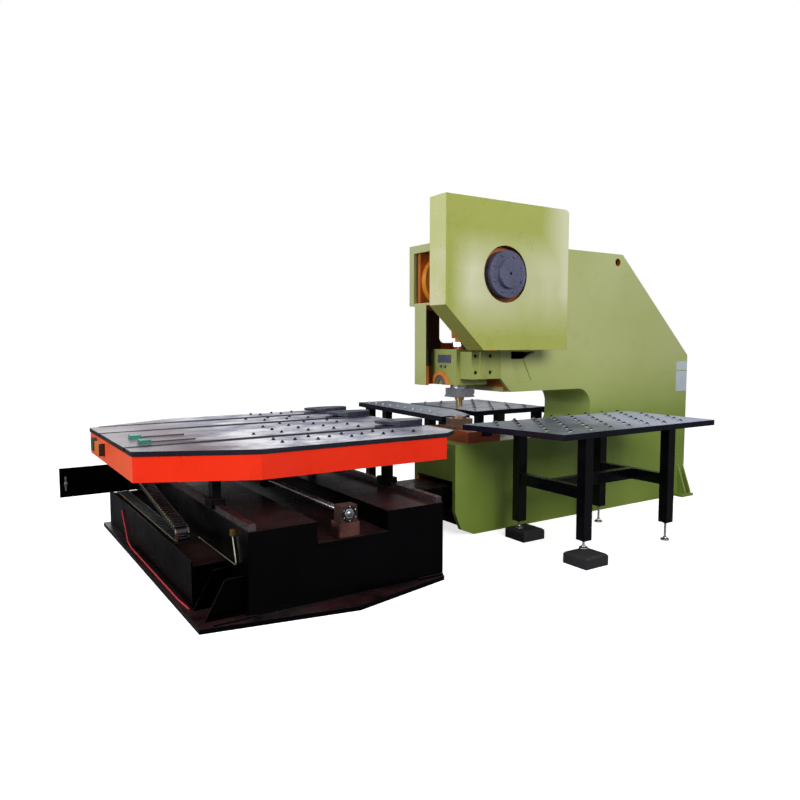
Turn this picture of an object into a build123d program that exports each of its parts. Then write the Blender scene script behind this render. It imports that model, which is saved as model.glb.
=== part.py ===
from build123d import *
import math
import os

os.makedirs("parts", exist_ok=True)

# Deep-throat punching press with a driven feed platform and two ball tables.
# Millimetres. X runs along the press towards its back, Y away from the feed side, Z up.
# The origin lies under the middle of the whole machine, on the floor.

# press frame
press_mid_y = -175
press_width = 590
plate_t = 40
frame_back_x = 2850
frame_front_x = -200
slant_start_x = 1794
slant_end_z = 1473
throat_top_z = 1180
throat_floor_z = 770
throat_back_x = 1385
throat_corner_r = 160
near_out_y = press_mid_y - press_width / 2
near_in_y = near_out_y + plate_t
far_out_y = press_mid_y + press_width / 2
far_in_y = far_out_y - plate_t

# head, crank and ram
head_axis_x = 68
crank_z = 2137
crank_throw = 40
head_drop = 217
head_rise = 298
shaft_r = 60
crank_pin_r = 55
head_wall_t = 30
head_near_w = 80
head_far_w = 83
head_near_y = near_out_y - head_near_w
head_far_y = far_out_y + head_far_w
head_bottom_z = crank_z - head_drop
frame_top_z = crank_z + head_rise
head_depth = 520
ram_depth = 326
ram_width = 330
ram_h = 300
ram_bottom_z = throat_top_z + 65
ram_top_z = ram_bottom_z + ram_h
gib_bottom_z = ram_bottom_z + 55
gib_top_z = ram_top_z - 19
slide_gap = 0.5
run_gap = 0.5

# flywheel, clutch, pulley and the cover over them, from the head outwards
flywheel_r = 500
pulley_r = 75
motor_offset_x = 572
motor_drop = 477
motor_x = head_axis_x + motor_offset_x
motor_z = crank_z - motor_drop
wheel_gap = 30
rim_w = 120
clutch_w = 84
clutch_cap_w = 32
cover_t = 5
cover_reach = 55
rim_far_y = head_near_y - wheel_gap
rim_near_y = rim_far_y - rim_w
clutch_near_y = rim_near_y - clutch_w
cover_near_y = rim_near_y - cover_reach

# punching line
table_z = 955
ball_rise = 17
sheet_z = table_z + ball_rise
bolster_h = 95
table_skirt = 45
table_plate_t = 10

# feed base
base_mid_x = -1572
base_half = 688
channel_half = 250
base_front_y = -1220
base_back_y = 1515
beam_top_z = 530
deck_z = 400
floor_plate_t = 30
wall_t = 20
rail_w = 45
rail_h = 40
rail_inset = 31
rail_half_gauge = base_half - rail_inset
screw_x = -1600
screw_z = 548
screw_r = 20

# platform
platform_mid_y = 80
platform_half = 1030
platform_end_half = 700
platform_left_x = -2745
platform_kink_x = -2060
platform_right_x = -650
top_plate_t = 30
platform_h = 160
platform_frame_top_z = table_z - top_plate_t
platform_bottom_z = platform_frame_top_z - platform_h
block_offset_y = 640
slot_w = 40
near_strip_w = 510
far_strip_w = 310
middle_slot_shift = 295
slot_ys = (
    platform_mid_y - platform_half + near_strip_w,
    platform_mid_y + middle_slot_shift,
    platform_mid_y + platform_half - far_strip_w,
)


def block(x0, x1, y0, y1, z0, z1, mode=Mode.ADD):
    with Locations(((x0 + x1) / 2, (y0 + y1) / 2, (z0 + z1) / 2)):
        Box(x1 - x0, y1 - y0, z1 - z0, mode=mode)


def side_prism(points, y0, y1, mode=Mode.ADD):
    with BuildSketch(Plane.XZ.offset(-y1), mode=Mode.PRIVATE) as outline:
        with BuildLine():
            Polyline(*points, close=True)
        make_face()
    extrude(outline.sketch, amount=y1 - y0, mode=mode)


def rounded_side_prism(points, radius, y0, y1, mode=Mode.ADD):
    with BuildSketch(Plane.XZ.offset(-y1), mode=Mode.PRIVATE) as outline:
        with BuildLine():
            FilletPolyline(*points, radius=radius, close=True)
        make_face()
    extrude(outline.sketch, amount=y1 - y0, mode=mode)


def flat_prism(points, z0, z1, mode=Mode.ADD):
    with BuildSketch(Plane.XY.offset(z0), mode=Mode.PRIVATE) as outline:
        with BuildLine():
            Polyline(*points, close=True)
        make_face()
    extrude(outline.sketch, amount=z1 - z0, mode=mode)


def end_prism(points, x0, x1, mode=Mode.ADD):
    with BuildSketch(Plane.YZ.offset(x0), mode=Mode.PRIVATE) as outline:
        with BuildLine():
            Polyline(*points, close=True)
        make_face()
    extrude(outline.sketch, amount=x1 - x0, mode=mode)


def rod_y(x, z, radius, y0, y1, mode=Mode.ADD):
    with Locations(Location((x, (y0 + y1) / 2, z), (90, 0, 0))):
        Cylinder(radius, y1 - y0, mode=mode)


def rod_x(y, z, radius, x0, x1, mode=Mode.ADD):
    with Locations(Location(((x0 + x1) / 2, y, z), (0, 90, 0))):
        Cylinder(radius, x1 - x0, mode=mode)


def rod_z(x, y, radius, z0, z1, mode=Mode.ADD):
    with Locations((x, y, (z0 + z1) / 2)):
        Cylinder(radius, z1 - z0, mode=mode)


# the throat outline is cut from both side plates and followed by the liner
throat_left_x = frame_front_x - 800
throat_points = [
    (throat_left_x, throat_floor_z),
    (throat_back_x, throat_floor_z),
    (throat_back_x, throat_top_z),
    (throat_left_x, throat_top_z),
]
gib_front_x = head_axis_x - 123
gib_back_x = head_axis_x + 192
notch_back_x = gib_back_x + 5
chin_top_x = notch_back_x + 10
chin_x = chin_top_x + 121
toe_points = [(0, 0), (frame_front_x + 67, 55), (frame_front_x, 205)]
head_plate_x = frame_front_x + head_wall_t
near_edge_x = gib_front_x + 15
bearing_bore_r = 120
motor_shaft_hole_r = 60
lift_x = slant_start_x - 67
lift_z = frame_top_z - 76
lift_r = 35

# slanted pocket behind the guides, and the shallow chute that leads down from it
pocket_x = chin_x - 5
pocket_top_w = 285
pocket_low_w = 146
pocket_low_z = gib_bottom_z + 163
chute_depth = 14

# splayed foot at the back corner of a side plate: a floor plate with two gussets
foot_reach = 100
foot_back_x = frame_back_x + 35
foot_front_x = foot_back_x - 190
foot_plate_t = 25
gusset_top_z = 330


def back_foot(outer_y, turn):
    tip_y = outer_y + turn * foot_reach
    block(foot_front_x, foot_back_x, min(outer_y, tip_y), max(outer_y, tip_y), 0, foot_plate_t)
    for gusset_x in (foot_front_x + 45, foot_front_x + 125):
        end_prism(
            [
                (outer_y, foot_plate_t),
                (tip_y, foot_plate_t),
                (tip_y, foot_plate_t + 35),
                (outer_y, gusset_top_z),
            ],
            gusset_x,
            gusset_x + 16,
        )


# side plate that the flywheel and the cover stand on
with BuildPart() as near_side_plate:
    side_prism(
        toe_points
        + [
            (frame_front_x, throat_floor_z),
            (frame_front_x, gib_bottom_z),
            (notch_back_x, gib_bottom_z),
            (notch_back_x, gib_top_z + 14),
            (near_edge_x, gib_top_z + 14),
            (near_edge_x, head_bottom_z),
            (head_plate_x, head_bottom_z),
            (head_plate_x, frame_top_z),
            (slant_start_x, frame_top_z),
            (frame_back_x, slant_end_z),
            (frame_back_x, 0),
        ],
        near_out_y,
        near_in_y,
    )
    rounded_side_prism(throat_points, throat_corner_r, near_out_y, near_in_y, Mode.SUBTRACT)
    side_prism(
        [
            (throat_left_x, throat_floor_z + throat_corner_r),
            (chin_x, throat_floor_z + throat_corner_r),
            (chin_x, throat_top_z),
            (chin_top_x, gib_bottom_z),
            (throat_left_x, gib_bottom_z),
        ],
        near_out_y,
        near_in_y,
        Mode.SUBTRACT,
    )
    side_prism(
        [
            (pocket_x, pocket_low_z),
            (pocket_x, gib_top_z),
            (pocket_x + pocket_top_w, gib_top_z),
            (pocket_x + pocket_low_w, pocket_low_z - 2),
        ],
        near_out_y,
        near_in_y,
        Mode.SUBTRACT,
    )
    side_prism(
        [
            (pocket_x, pocket_low_z),
            (pocket_x + pocket_low_w, pocket_low_z - 2),
            (pocket_x + 240, gib_bottom_z - 23),
            (pocket_x + 84, gib_bottom_z - 53),
        ],
        near_out_y,
        near_out_y + chute_depth,
        Mode.SUBTRACT,
    )
    rod_y(head_axis_x, crank_z, bearing_bore_r, near_out_y, near_in_y, Mode.SUBTRACT)
    rod_y(motor_x, motor_z, motor_shaft_hole_r, near_out_y, near_in_y, Mode.SUBTRACT)
    rod_y(lift_x, lift_z, lift_r, near_out_y, near_in_y, Mode.SUBTRACT)
    back_foot(near_out_y, -1)
near_side_plate.part.label = "near_side_plate"
export_step(near_side_plate.part, "parts/near_side_plate.step")

# far side plate with the tall opening beside the connecting rod
far_chin_z = 1237
with BuildPart() as far_side_plate:
    side_prism(
        toe_points
        + [
            (frame_front_x, throat_floor_z),
            (head_plate_x, far_chin_z),
            (head_plate_x, frame_top_z),
            (slant_start_x, frame_top_z),
            (frame_back_x, slant_end_z),
            (frame_back_x, 0),
        ],
        far_in_y,
        far_out_y,
    )
    rounded_side_prism(throat_points, throat_corner_r, far_in_y, far_out_y, Mode.SUBTRACT)
    side_prism(
        [
            (throat_left_x, throat_floor_z + throat_corner_r),
            (chin_x, throat_floor_z + throat_corner_r),
            (chin_x, throat_top_z),
            (chin_top_x, far_chin_z),
            (throat_left_x, far_chin_z),
        ],
        far_in_y,
        far_out_y,
        Mode.SUBTRACT,
    )
    rounded_side_prism(
        [
            (head_axis_x - 30, gib_top_z + 74),
            (head_axis_x + 230, gib_top_z + 74),
            (head_axis_x + 230, crank_z - 257),
            (head_axis_x - 30, crank_z - 257),
        ],
        50,
        far_in_y,
        far_out_y,
        Mode.SUBTRACT,
    )
    rod_y(head_axis_x, crank_z, bearing_bore_r, far_in_y, far_out_y, Mode.SUBTRACT)
    rod_y(lift_x, lift_z, lift_r, far_in_y, far_out_y, Mode.SUBTRACT)
    back_foot(far_out_y, 1)
far_side_plate.part.label = "far_side_plate"
export_step(far_side_plate.part, "parts/far_side_plate.step")

# bent liner welded round the throat, its lower run carries the bolster
liner_top_x = chin_top_x + 65
with BuildPart() as throat_liner:
    rounded_side_prism(
        [
            (throat_left_x, throat_floor_z - plate_t),
            (throat_back_x + plate_t, throat_floor_z - plate_t),
            (throat_back_x + plate_t, throat_top_z + plate_t),
            (throat_left_x, throat_top_z + plate_t),
        ],
        throat_corner_r + plate_t,
        near_in_y,
        far_in_y,
    )
    rounded_side_prism(throat_points, throat_corner_r, near_in_y, far_in_y, Mode.SUBTRACT)
    block(
        throat_left_x, frame_front_x, near_in_y, far_in_y,
        throat_floor_z - plate_t, throat_top_z + plate_t, Mode.SUBTRACT,
    )
    block(
        frame_front_x, liner_top_x, near_in_y, far_in_y,
        throat_top_z, throat_top_z + plate_t, Mode.SUBTRACT,
    )
throat_liner.part.label = "throat_liner"
export_step(throat_liner.part, "parts/throat_liner.step")

# roof, slanted back and rear wall, one folded run of plate between the sides
slant_drop = (frame_top_z - slant_end_z) / (frame_back_x - slant_start_x)
with BuildPart() as frame_shell:
    side_prism(
        [
            (head_plate_x, frame_top_z),
            (slant_start_x, frame_top_z),
            (frame_back_x, slant_end_z),
            (frame_back_x, plate_t),
            (frame_back_x - plate_t, plate_t),
            (frame_back_x - plate_t, slant_end_z - 18),
            (slant_start_x - 18, frame_top_z - plate_t),
            (head_plate_x, frame_top_z - plate_t),
        ],
        near_in_y,
        far_in_y,
    )
frame_shell.part.label = "frame_shell"
export_step(frame_shell.part, "parts/frame_shell.step")

bottom_front_x = 60
jaw_opening_z = 460
# plates welded across between the sides: floor, jaw front, wall behind the ram, stiffeners
rib_t = 30
lower_rib_x = 600
upper_rib_x = 1000
rear_rib_x = 1900
tie_plate_x = -30
rear_rib_top_z = frame_top_z - plate_t - (rear_rib_x + rib_t - slant_start_x + 18) * slant_drop - 2
with BuildPart() as frame_cross_plates:
    block(bottom_front_x, frame_back_x, near_in_y, far_in_y, 0, plate_t)
    block(
        frame_front_x, frame_front_x + plate_t, near_in_y, far_in_y,
        jaw_opening_z, throat_floor_z - plate_t,
    )
    block(
        liner_top_x, liner_top_x + plate_t, near_in_y, far_in_y,
        throat_top_z + plate_t, frame_top_z - plate_t,
    )
    block(tie_plate_x, tie_plate_x + rib_t, near_in_y, far_in_y, 150, throat_floor_z - plate_t)
    block(lower_rib_x, lower_rib_x + rib_t, near_in_y, far_in_y, plate_t, throat_floor_z - plate_t)
    block(
        upper_rib_x, upper_rib_x + rib_t, near_in_y, far_in_y,
        throat_top_z + plate_t, frame_top_z - plate_t,
    )
    block(rear_rib_x, rear_rib_x + rib_t, near_in_y, far_in_y, plate_t, rear_rib_top_z)
frame_cross_plates.part.label = "frame_cross_plates"
export_step(frame_cross_plates.part, "parts/frame_cross_plates.step")

# front frame of the head with its square window and the two side boxes
window_near_y = near_out_y - 10
window_far_y = far_out_y + 14
window_low_z = head_bottom_z + 20
window_high_z = head_bottom_z + 450
head_back_x = frame_front_x + head_depth
head_skin = 20
with BuildPart() as head_frame:
    block(
        frame_front_x, head_plate_x, head_near_y, head_far_y,
        head_bottom_z, frame_top_z,
    )
    block(
        frame_front_x, head_plate_x, window_near_y, window_far_y,
        window_low_z, window_high_z, Mode.SUBTRACT,
    )
    block(
        head_plate_x, head_back_x, head_near_y, near_out_y, head_bottom_z, frame_top_z,
    )
    block(
        head_plate_x, head_back_x - head_skin, head_near_y + head_skin, near_out_y,
        head_bottom_z + head_skin, frame_top_z - head_skin, Mode.SUBTRACT,
    )
    block(
        head_plate_x, head_back_x, far_out_y, head_far_y, head_bottom_z, frame_top_z,
    )
    block(
        head_plate_x, head_back_x - head_skin, far_out_y, head_far_y - head_skin,
        head_bottom_z + head_skin, frame_top_z - head_skin, Mode.SUBTRACT,
    )
    rod_y(
        head_axis_x, crank_z, shaft_r + 30, head_near_y, head_near_y + head_skin,
        Mode.SUBTRACT,
    )
    block(frame_front_x, head_plate_x, far_in_y - 130, far_out_y, far_chin_z, head_bottom_z)
head_frame.part.label = "head_frame"
export_step(head_frame.part, "parts/head_frame.step")

# folded sheet cover over the flywheel with the round hole in front of the clutch
cover_left_gap = 90
cover_top_gap = 63
cover_pulley_gap = 43
cut_run = 372
cut_rise = 343
cover_corner_r = 38
cover_hole_r = 222
cover_left_x = head_axis_x - flywheel_r - cover_left_gap
cover_right_x = motor_x + pulley_r + cover_pulley_gap
cover_bottom_z = motor_z - pulley_r - cover_pulley_gap
cover_top_z = crank_z + flywheel_r + cover_top_gap
cover_cut_x = cover_left_x + cut_run
cover_cut_z = cover_bottom_z + cut_rise
cover_outer = [
    (cover_left_x, cover_cut_z),
    (cover_cut_x, cover_bottom_z),
    (cover_right_x, cover_bottom_z),
    (cover_right_x, cover_top_z),
    (cover_left_x, cover_top_z),
]
cut_long = math.hypot(cut_run, cut_rise)
cut_shift_z = cover_t * (cut_long - cut_rise) / cut_run
cut_shift_x = cover_t * (cut_long - cut_run) / cut_rise
cover_inner = [
    (cover_left_x + cover_t, cover_cut_z + cut_shift_z),
    (cover_cut_x + cut_shift_x, cover_bottom_z + cover_t),
    (cover_right_x - cover_t, cover_bottom_z + cover_t),
    (cover_right_x - cover_t, cover_top_z - cover_t),
    (cover_left_x + cover_t, cover_top_z - cover_t),
]
# two brackets hold it on the side plate, a strap behind the flywheel on the head
bracket_w = 60
bracket_h = 60
bracket_low_zs = (cover_bottom_z + 338, cover_bottom_z + 598)
strap_t = 10
strap_low_z = frame_top_z - 75
face_back_y = cover_near_y + cover_t
with BuildPart() as cover_face_plate:
    side_prism(cover_outer, cover_near_y, face_back_y)
    long_edges = cover_face_plate.edges().filter_by(Axis.Y)
    fillet(long_edges.sort_by(lambda edge: edge.center().X + edge.center().Z)[-1], cover_corner_r)
    rod_y(head_axis_x, crank_z, cover_hole_r, cover_near_y, face_back_y, Mode.SUBTRACT)
cover_face_plate.part.label = "cover_face_plate"
export_step(cover_face_plate.part, "parts/cover_face_plate.step")

with BuildPart() as flywheel_cover:
    side_prism(cover_outer, face_back_y, head_near_y)
    side_prism(cover_inner, face_back_y, head_near_y, Mode.SUBTRACT)
    for corner, radius in ((-2, cover_corner_r - cover_t), (-1, cover_corner_r)):
        long_edges = flywheel_cover.edges().filter_by(Axis.Y)
        fillet(long_edges.sort_by(lambda edge: edge.center().X + edge.center().Z)[corner], radius)
    for low_z in bracket_low_zs:
        block(
            cover_right_x - bracket_w, cover_right_x - cover_t, head_near_y - 100, near_out_y,
            low_z, low_z + bracket_h,
        )
    block(
        cover_left_x + cover_t, head_plate_x, head_near_y - strap_t, head_near_y,
        strap_low_z, strap_low_z + bracket_h,
    )
flywheel_cover.part.label = "flywheel_cover"
export_step(flywheel_cover.part, "parts/flywheel_cover.step")

# crankshaft bearings, bolted to the inner faces of the side plates
housing_r = 225
housing_lip = 60
housing_recess_r = housing_r - 70
with BuildPart() as bearing_housings:
    rod_y(head_axis_x, crank_z, bearing_bore_r, near_out_y, near_in_y)
    rod_y(head_axis_x, crank_z, housing_r, near_in_y, near_in_y + housing_lip / 2)
    rod_y(head_axis_x, crank_z, bearing_bore_r, far_in_y, far_out_y)
    rod_y(head_axis_x, crank_z, housing_r, far_in_y - housing_lip, far_in_y)
    rod_y(
        head_axis_x, crank_z, housing_recess_r, far_in_y - housing_lip, far_in_y - 20,
        Mode.SUBTRACT,
    )
    rod_y(head_axis_x, crank_z, shaft_r + run_gap, near_out_y, far_out_y, Mode.SUBTRACT)
bearing_housings.part.label = "bearing_housings"
export_step(bearing_housings.part, "parts/bearing_housings.step")

# crankshaft, turned and ground, with two round webs and one pin
web_r = 120
web_t = 40
pin_half = 85
shaft_end = 15
shaft_near_y = rim_near_y - shaft_end
shaft_far_y = far_out_y + 40
with BuildPart() as crankshaft:
    rod_y(head_axis_x, crank_z, shaft_r, shaft_near_y, press_mid_y - pin_half)
    rod_y(head_axis_x, crank_z, shaft_r, press_mid_y + pin_half, shaft_far_y)
    rod_y(
        head_axis_x, crank_z, web_r,
        press_mid_y - pin_half - web_t, press_mid_y - pin_half,
    )
    rod_y(
        head_axis_x, crank_z, web_r,
        press_mid_y + pin_half, press_mid_y + pin_half + web_t,
    )
    rod_y(
        head_axis_x, crank_z + crank_throw, crank_pin_r,
        press_mid_y - pin_half, press_mid_y + pin_half,
    )
crankshaft.part.label = "crankshaft"
export_step(crankshaft.part, "parts/crankshaft.step")

# flywheel with a grooved rim, a thin web and a boss
rim_r = 410
web_recess = 40
boss_r = 214
groove_count = 3
groove_w = 24
groove_depth = 14
groove_pitch = (rim_far_y - rim_near_y) / (groove_count + 1)
with BuildPart() as flywheel:
    rod_y(head_axis_x, crank_z, flywheel_r, rim_near_y, rim_far_y)
    rod_y(head_axis_x, crank_z, rim_r, rim_near_y, rim_near_y + web_recess, Mode.SUBTRACT)
    rod_y(head_axis_x, crank_z, rim_r, rim_far_y - web_recess, rim_far_y, Mode.SUBTRACT)
    rod_y(head_axis_x, crank_z, boss_r, rim_near_y, rim_far_y)
    for groove in range(groove_count):
        groove_y = rim_near_y + groove_pitch * (groove + 1)
        rod_y(
            head_axis_x, crank_z, flywheel_r + 1,
            groove_y - groove_w / 2, groove_y + groove_w / 2, Mode.SUBTRACT,
        )
        rod_y(
            head_axis_x, crank_z, flywheel_r - groove_depth,
            groove_y - groove_w / 2, groove_y + groove_w / 2,
        )
    rod_y(head_axis_x, crank_z, shaft_r + run_gap, rim_near_y, rim_far_y, Mode.SUBTRACT)
flywheel.part.label = "flywheel"
export_step(flywheel.part, "parts/flywheel.step")

# stepped clutch housing seen through the cover hole
clutch_r = 184
clutch_cap_r = 111
clutch_cap_y = clutch_near_y - clutch_cap_w
clutch_hole_r = 12
clutch_bolt_count = 8
clutch_bolt_turn = 22.5
clutch_bolt_ring_r = 148
clutch_bolt_r = 12
clutch_bolt_h = 9
with BuildPart() as clutch_hub:
    rod_y(head_axis_x, crank_z, clutch_r, clutch_near_y, rim_near_y)
    rod_y(head_axis_x, crank_z, clutch_cap_r, clutch_cap_y, clutch_near_y)
    rod_y(
        head_axis_x, crank_z, clutch_hole_r, clutch_cap_y, shaft_near_y, Mode.SUBTRACT,
    )
    rod_y(
        head_axis_x, crank_z, shaft_r + run_gap, shaft_near_y - run_gap, rim_near_y,
        Mode.SUBTRACT,
    )
    with Locations(Location((head_axis_x, clutch_near_y - clutch_bolt_h / 2, crank_z), (90, 0, 0))):
        with PolarLocations(clutch_bolt_ring_r, clutch_bolt_count, clutch_bolt_turn):
            Cylinder(clutch_bolt_r, clutch_bolt_h)
clutch_hub.part.label = "clutch_hub"
export_step(clutch_hub.part, "parts/clutch_hub.step")

# drive motor inside the frame, its shaft reaches through the near plate
motor_r = 130
motor_length = 360
motor_flange_t = 20
motor_shaft_r = 19
with BuildPart() as drive_motor:
    rod_y(motor_x, motor_z, motor_r + 25, near_in_y, near_in_y + motor_flange_t)
    rod_y(motor_x, motor_z, motor_r, near_in_y + motor_flange_t, near_in_y + motor_length)
    block(
        motor_x - 60, motor_x + 60, near_in_y + 120, near_in_y + 240,
        motor_z + motor_r - 20, motor_z + motor_r + 60,
    )
drive_motor.part.label = "drive_motor"
export_step(drive_motor.part, "parts/drive_motor.step")

with BuildPart() as motor_pulley:
    rod_y(motor_x, motor_z, pulley_r, rim_near_y, rim_far_y)
    for groove in range(groove_count):
        groove_y = rim_near_y + groove_pitch * (groove + 1)
        rod_y(
            motor_x, motor_z, pulley_r + 1,
            groove_y - groove_w / 2, groove_y + groove_w / 2, Mode.SUBTRACT,
        )
        rod_y(
            motor_x, motor_z, pulley_r - groove_depth,
            groove_y - groove_w / 2, groove_y + groove_w / 2,
        )
    rod_y(motor_x, motor_z, motor_shaft_r, rim_far_y, near_in_y - run_gap)
motor_pulley.part.label = "motor_pulley"
export_step(motor_pulley.part, "parts/motor_pulley.step")

# three belts, each a closed loop in its own groove
belt_gap = 1
belt_t = 11
belt_half_w = groove_w / 2 - 2


def belt_outline(extra):
    with BuildSketch(mode=Mode.PRIVATE) as loop:
        with Locations((head_axis_x, crank_z)):
            Circle(flywheel_r - groove_depth + belt_gap + extra)
        with Locations((motor_x, motor_z)):
            Circle(pulley_r - groove_depth + belt_gap + extra)
        make_hull()
    return loop.sketch


belt_ring = belt_outline(belt_t) - belt_outline(0)
with BuildPart() as drive_belts:
    for groove in range(groove_count):
        groove_y = rim_near_y + groove_pitch * (groove + 1)
        belt_plane = Plane.XZ.offset(-(groove_y + belt_half_w))
        extrude(belt_plane * belt_ring, amount=2 * belt_half_w)
drive_belts.part.label = "drive_belts"
export_step(drive_belts.part, "parts/drive_belts.step")

# connecting rod and its adjusting screw, the eye is open sideways for the crank pin
rod_half_w = pin_half - 5
eye_clear = 11
eye_wall = 38
eye_z = crank_z + crank_throw
rod_foot_z = ram_top_z + 95
rod_screw_r = 40
with BuildPart() as connecting_rod:
    with BuildSketch(Plane.XZ.offset(-(press_mid_y + rod_half_w))):
        with Locations((head_axis_x - crank_throw, eye_z), (head_axis_x + crank_throw, eye_z)):
            Circle(crank_pin_r + eye_clear + eye_wall)
        make_hull()
    extrude(amount=2 * rod_half_w)
    side_prism(
        [
            (head_axis_x - 80, eye_z - crank_pin_r - eye_clear - 10),
            (head_axis_x + 80, eye_z - crank_pin_r - eye_clear - 10),
            (head_axis_x + 50, rod_foot_z),
            (head_axis_x - 50, rod_foot_z),
        ],
        press_mid_y - 50,
        press_mid_y + 50,
    )
    rod_z(head_axis_x, press_mid_y, rod_screw_r, ram_top_z, rod_foot_z)
    with BuildSketch(Plane.XZ.offset(-(press_mid_y + rod_half_w))):
        with Locations((head_axis_x - crank_throw, eye_z), (head_axis_x + crank_throw, eye_z)):
            Circle(crank_pin_r + eye_clear)
        make_hull()
    extrude(amount=2 * rod_half_w, mode=Mode.SUBTRACT)
connecting_rod.part.label = "connecting_rod"
export_step(connecting_rod.part, "parts/connecting_rod.step")

nut_low_z = ram_top_z + 20
nut_r = 72
nut_h = 42
with BuildPart() as adjusting_nut:
    with BuildSketch(Plane.XY.offset(nut_low_z)):
        with Locations((head_axis_x, press_mid_y)):
            RegularPolygon(nut_r, 6)
            Circle(rod_screw_r, mode=Mode.SUBTRACT)
    extrude(amount=nut_h)
adjusting_nut.part.label = "adjusting_nut"
export_step(adjusting_nut.part, "parts/adjusting_nut.step")

# ram, a machined box that slides between the guides
ram_front_x = head_axis_x - ram_depth / 2
ram_back_x = head_axis_x + ram_depth / 2
ram_near_y = press_mid_y - ram_width / 2
ram_far_y = press_mid_y + ram_width / 2
with BuildPart() as ram:
    block(ram_front_x, ram_back_x, ram_near_y, ram_far_y, ram_bottom_z, ram_top_z)
    block(
        ram_front_x + 103, ram_front_x + 125, ram_near_y, ram_near_y + 14,
        ram_bottom_z + 65, ram_bottom_z + 175, Mode.SUBTRACT,
    )
ram.part.label = "ram"
export_step(ram.part, "parts/ram.step")

indicator_z = ram_top_z - 145
with BuildPart() as ram_front_fittings:
    block(
        ram_front_x - 8, ram_front_x, press_mid_y - 90, press_mid_y + 85,
        ram_top_z - 112, ram_top_z - 46,
    )
    rod_x(press_mid_y + 42, indicator_z, 11, ram_front_x - 14, ram_front_x)
    rod_x(press_mid_y - 15, indicator_z, 11, ram_front_x - 14, ram_front_x)
ram_front_fittings.part.label = "ram_front_fittings"
export_step(ram_front_fittings.part, "parts/ram_front_fittings.step")

# arched clamp on the front of the ram, and the tool shank cap it holds
arch_y = press_mid_y + 44
arch_r = 112
arch_band = 32
with BuildPart() as tool_clamp_arch:
    rod_x(arch_y, ram_bottom_z, arch_r, ram_front_x - 20, ram_front_x)
    rod_x(
        arch_y, ram_bottom_z, arch_r - arch_band, ram_front_x - 20, ram_front_x,
        Mode.SUBTRACT,
    )
    block(
        ram_front_x - 20, ram_front_x, arch_y - arch_r, arch_y + arch_r,
        ram_bottom_z - arch_r, ram_bottom_z, Mode.SUBTRACT,
    )
    rod_x(arch_y, ram_bottom_z, arch_r - arch_band - 6, ram_front_x - 12, ram_front_x)
    rod_x(
        arch_y, ram_bottom_z + 12, 30, ram_front_x - 12, ram_front_x, Mode.SUBTRACT,
    )
    block(
        ram_front_x - 12, ram_front_x, arch_y - arch_r, arch_y + arch_r,
        ram_bottom_z - arch_r, ram_bottom_z, Mode.SUBTRACT,
    )
tool_clamp_arch.part.label = "tool_clamp_arch"
export_step(tool_clamp_arch.part, "parts/tool_clamp_arch.step")

# guides on both sides of the ram
gib_face_y = near_out_y - 20
ridge_x = gib_front_x + 83
gib_bolt_xs = (gib_front_x + 42, gib_back_x - 116)
gib_bolt_zs = (gib_bottom_z + 55, gib_top_z - 34)
with BuildPart() as ram_gibs:
    block(gib_front_x, gib_back_x, gib_face_y, ram_near_y - slide_gap, gib_bottom_z, gib_top_z)
    block(ridge_x, ridge_x + 58, gib_face_y - 12, gib_face_y, gib_bottom_z, gib_top_z)
    for bolt_x in gib_bolt_xs:
        for bolt_z in gib_bolt_zs:
            rod_y(bolt_x, bolt_z, 17, gib_face_y, gib_face_y + 22, Mode.SUBTRACT)
    block(gib_front_x, gib_back_x, ram_far_y + slide_gap, far_in_y, gib_bottom_z, gib_top_z)
ram_gibs.part.label = "ram_gibs"
export_step(ram_gibs.part, "parts/ram_gibs.step")

with BuildPart() as gib_bolts:
    for bolt_x in gib_bolt_xs:
        for bolt_z in gib_bolt_zs:
            rod_y(bolt_x, bolt_z, 13, gib_face_y + 6, gib_face_y + 22)
gib_bolts.part.label = "gib_bolts"
export_step(gib_bolts.part, "parts/gib_bolts.step")

# punch holder, punch and the die set on the lower jaw
stroke = 2 * crank_throw
holder_low_z = ram_bottom_z - 110
holder_half = 86
holder_flange_half = 92
punch_tip_z = sheet_z - 1 + stroke
with BuildPart() as punch_holder:
    rod_z(head_axis_x, press_mid_y, 80, holder_low_z + 76, ram_bottom_z)
    block(
        head_axis_x - holder_half, head_axis_x + holder_half,
        press_mid_y - holder_half, press_mid_y + holder_half,
        holder_low_z + 16, holder_low_z + 76,
    )
    block(
        head_axis_x - holder_flange_half, head_axis_x + holder_flange_half,
        press_mid_y - holder_flange_half, press_mid_y + holder_flange_half,
        holder_low_z, holder_low_z + 16,
    )
    block(
        head_axis_x + holder_half, head_axis_x + 150, press_mid_y - 22, press_mid_y + 22,
        holder_low_z + 20, holder_low_z + 56,
    )
punch_holder.part.label = "punch_holder"
export_step(punch_holder.part, "parts/punch_holder.step")

punch_r = 26
with BuildPart() as punch:
    rod_z(head_axis_x, press_mid_y, punch_r + 14, holder_low_z - 26, holder_low_z)
    rod_z(head_axis_x, press_mid_y, punch_r, punch_tip_z, holder_low_z - 26)
punch.part.label = "punch"
export_step(punch.part, "parts/punch.step")

bolster_top_z = throat_floor_z + bolster_h
bolster_half_x = 175
with BuildPart() as bolster:
    block(
        head_axis_x + 37 - bolster_half_x, head_axis_x + 37 + bolster_half_x,
        near_out_y, far_out_y, throat_floor_z, bolster_top_z,
    )
    rod_z(head_axis_x, press_mid_y, 50, throat_floor_z, bolster_top_z, Mode.SUBTRACT)
bolster.part.label = "bolster"
export_step(bolster.part, "parts/bolster.step")

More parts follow.
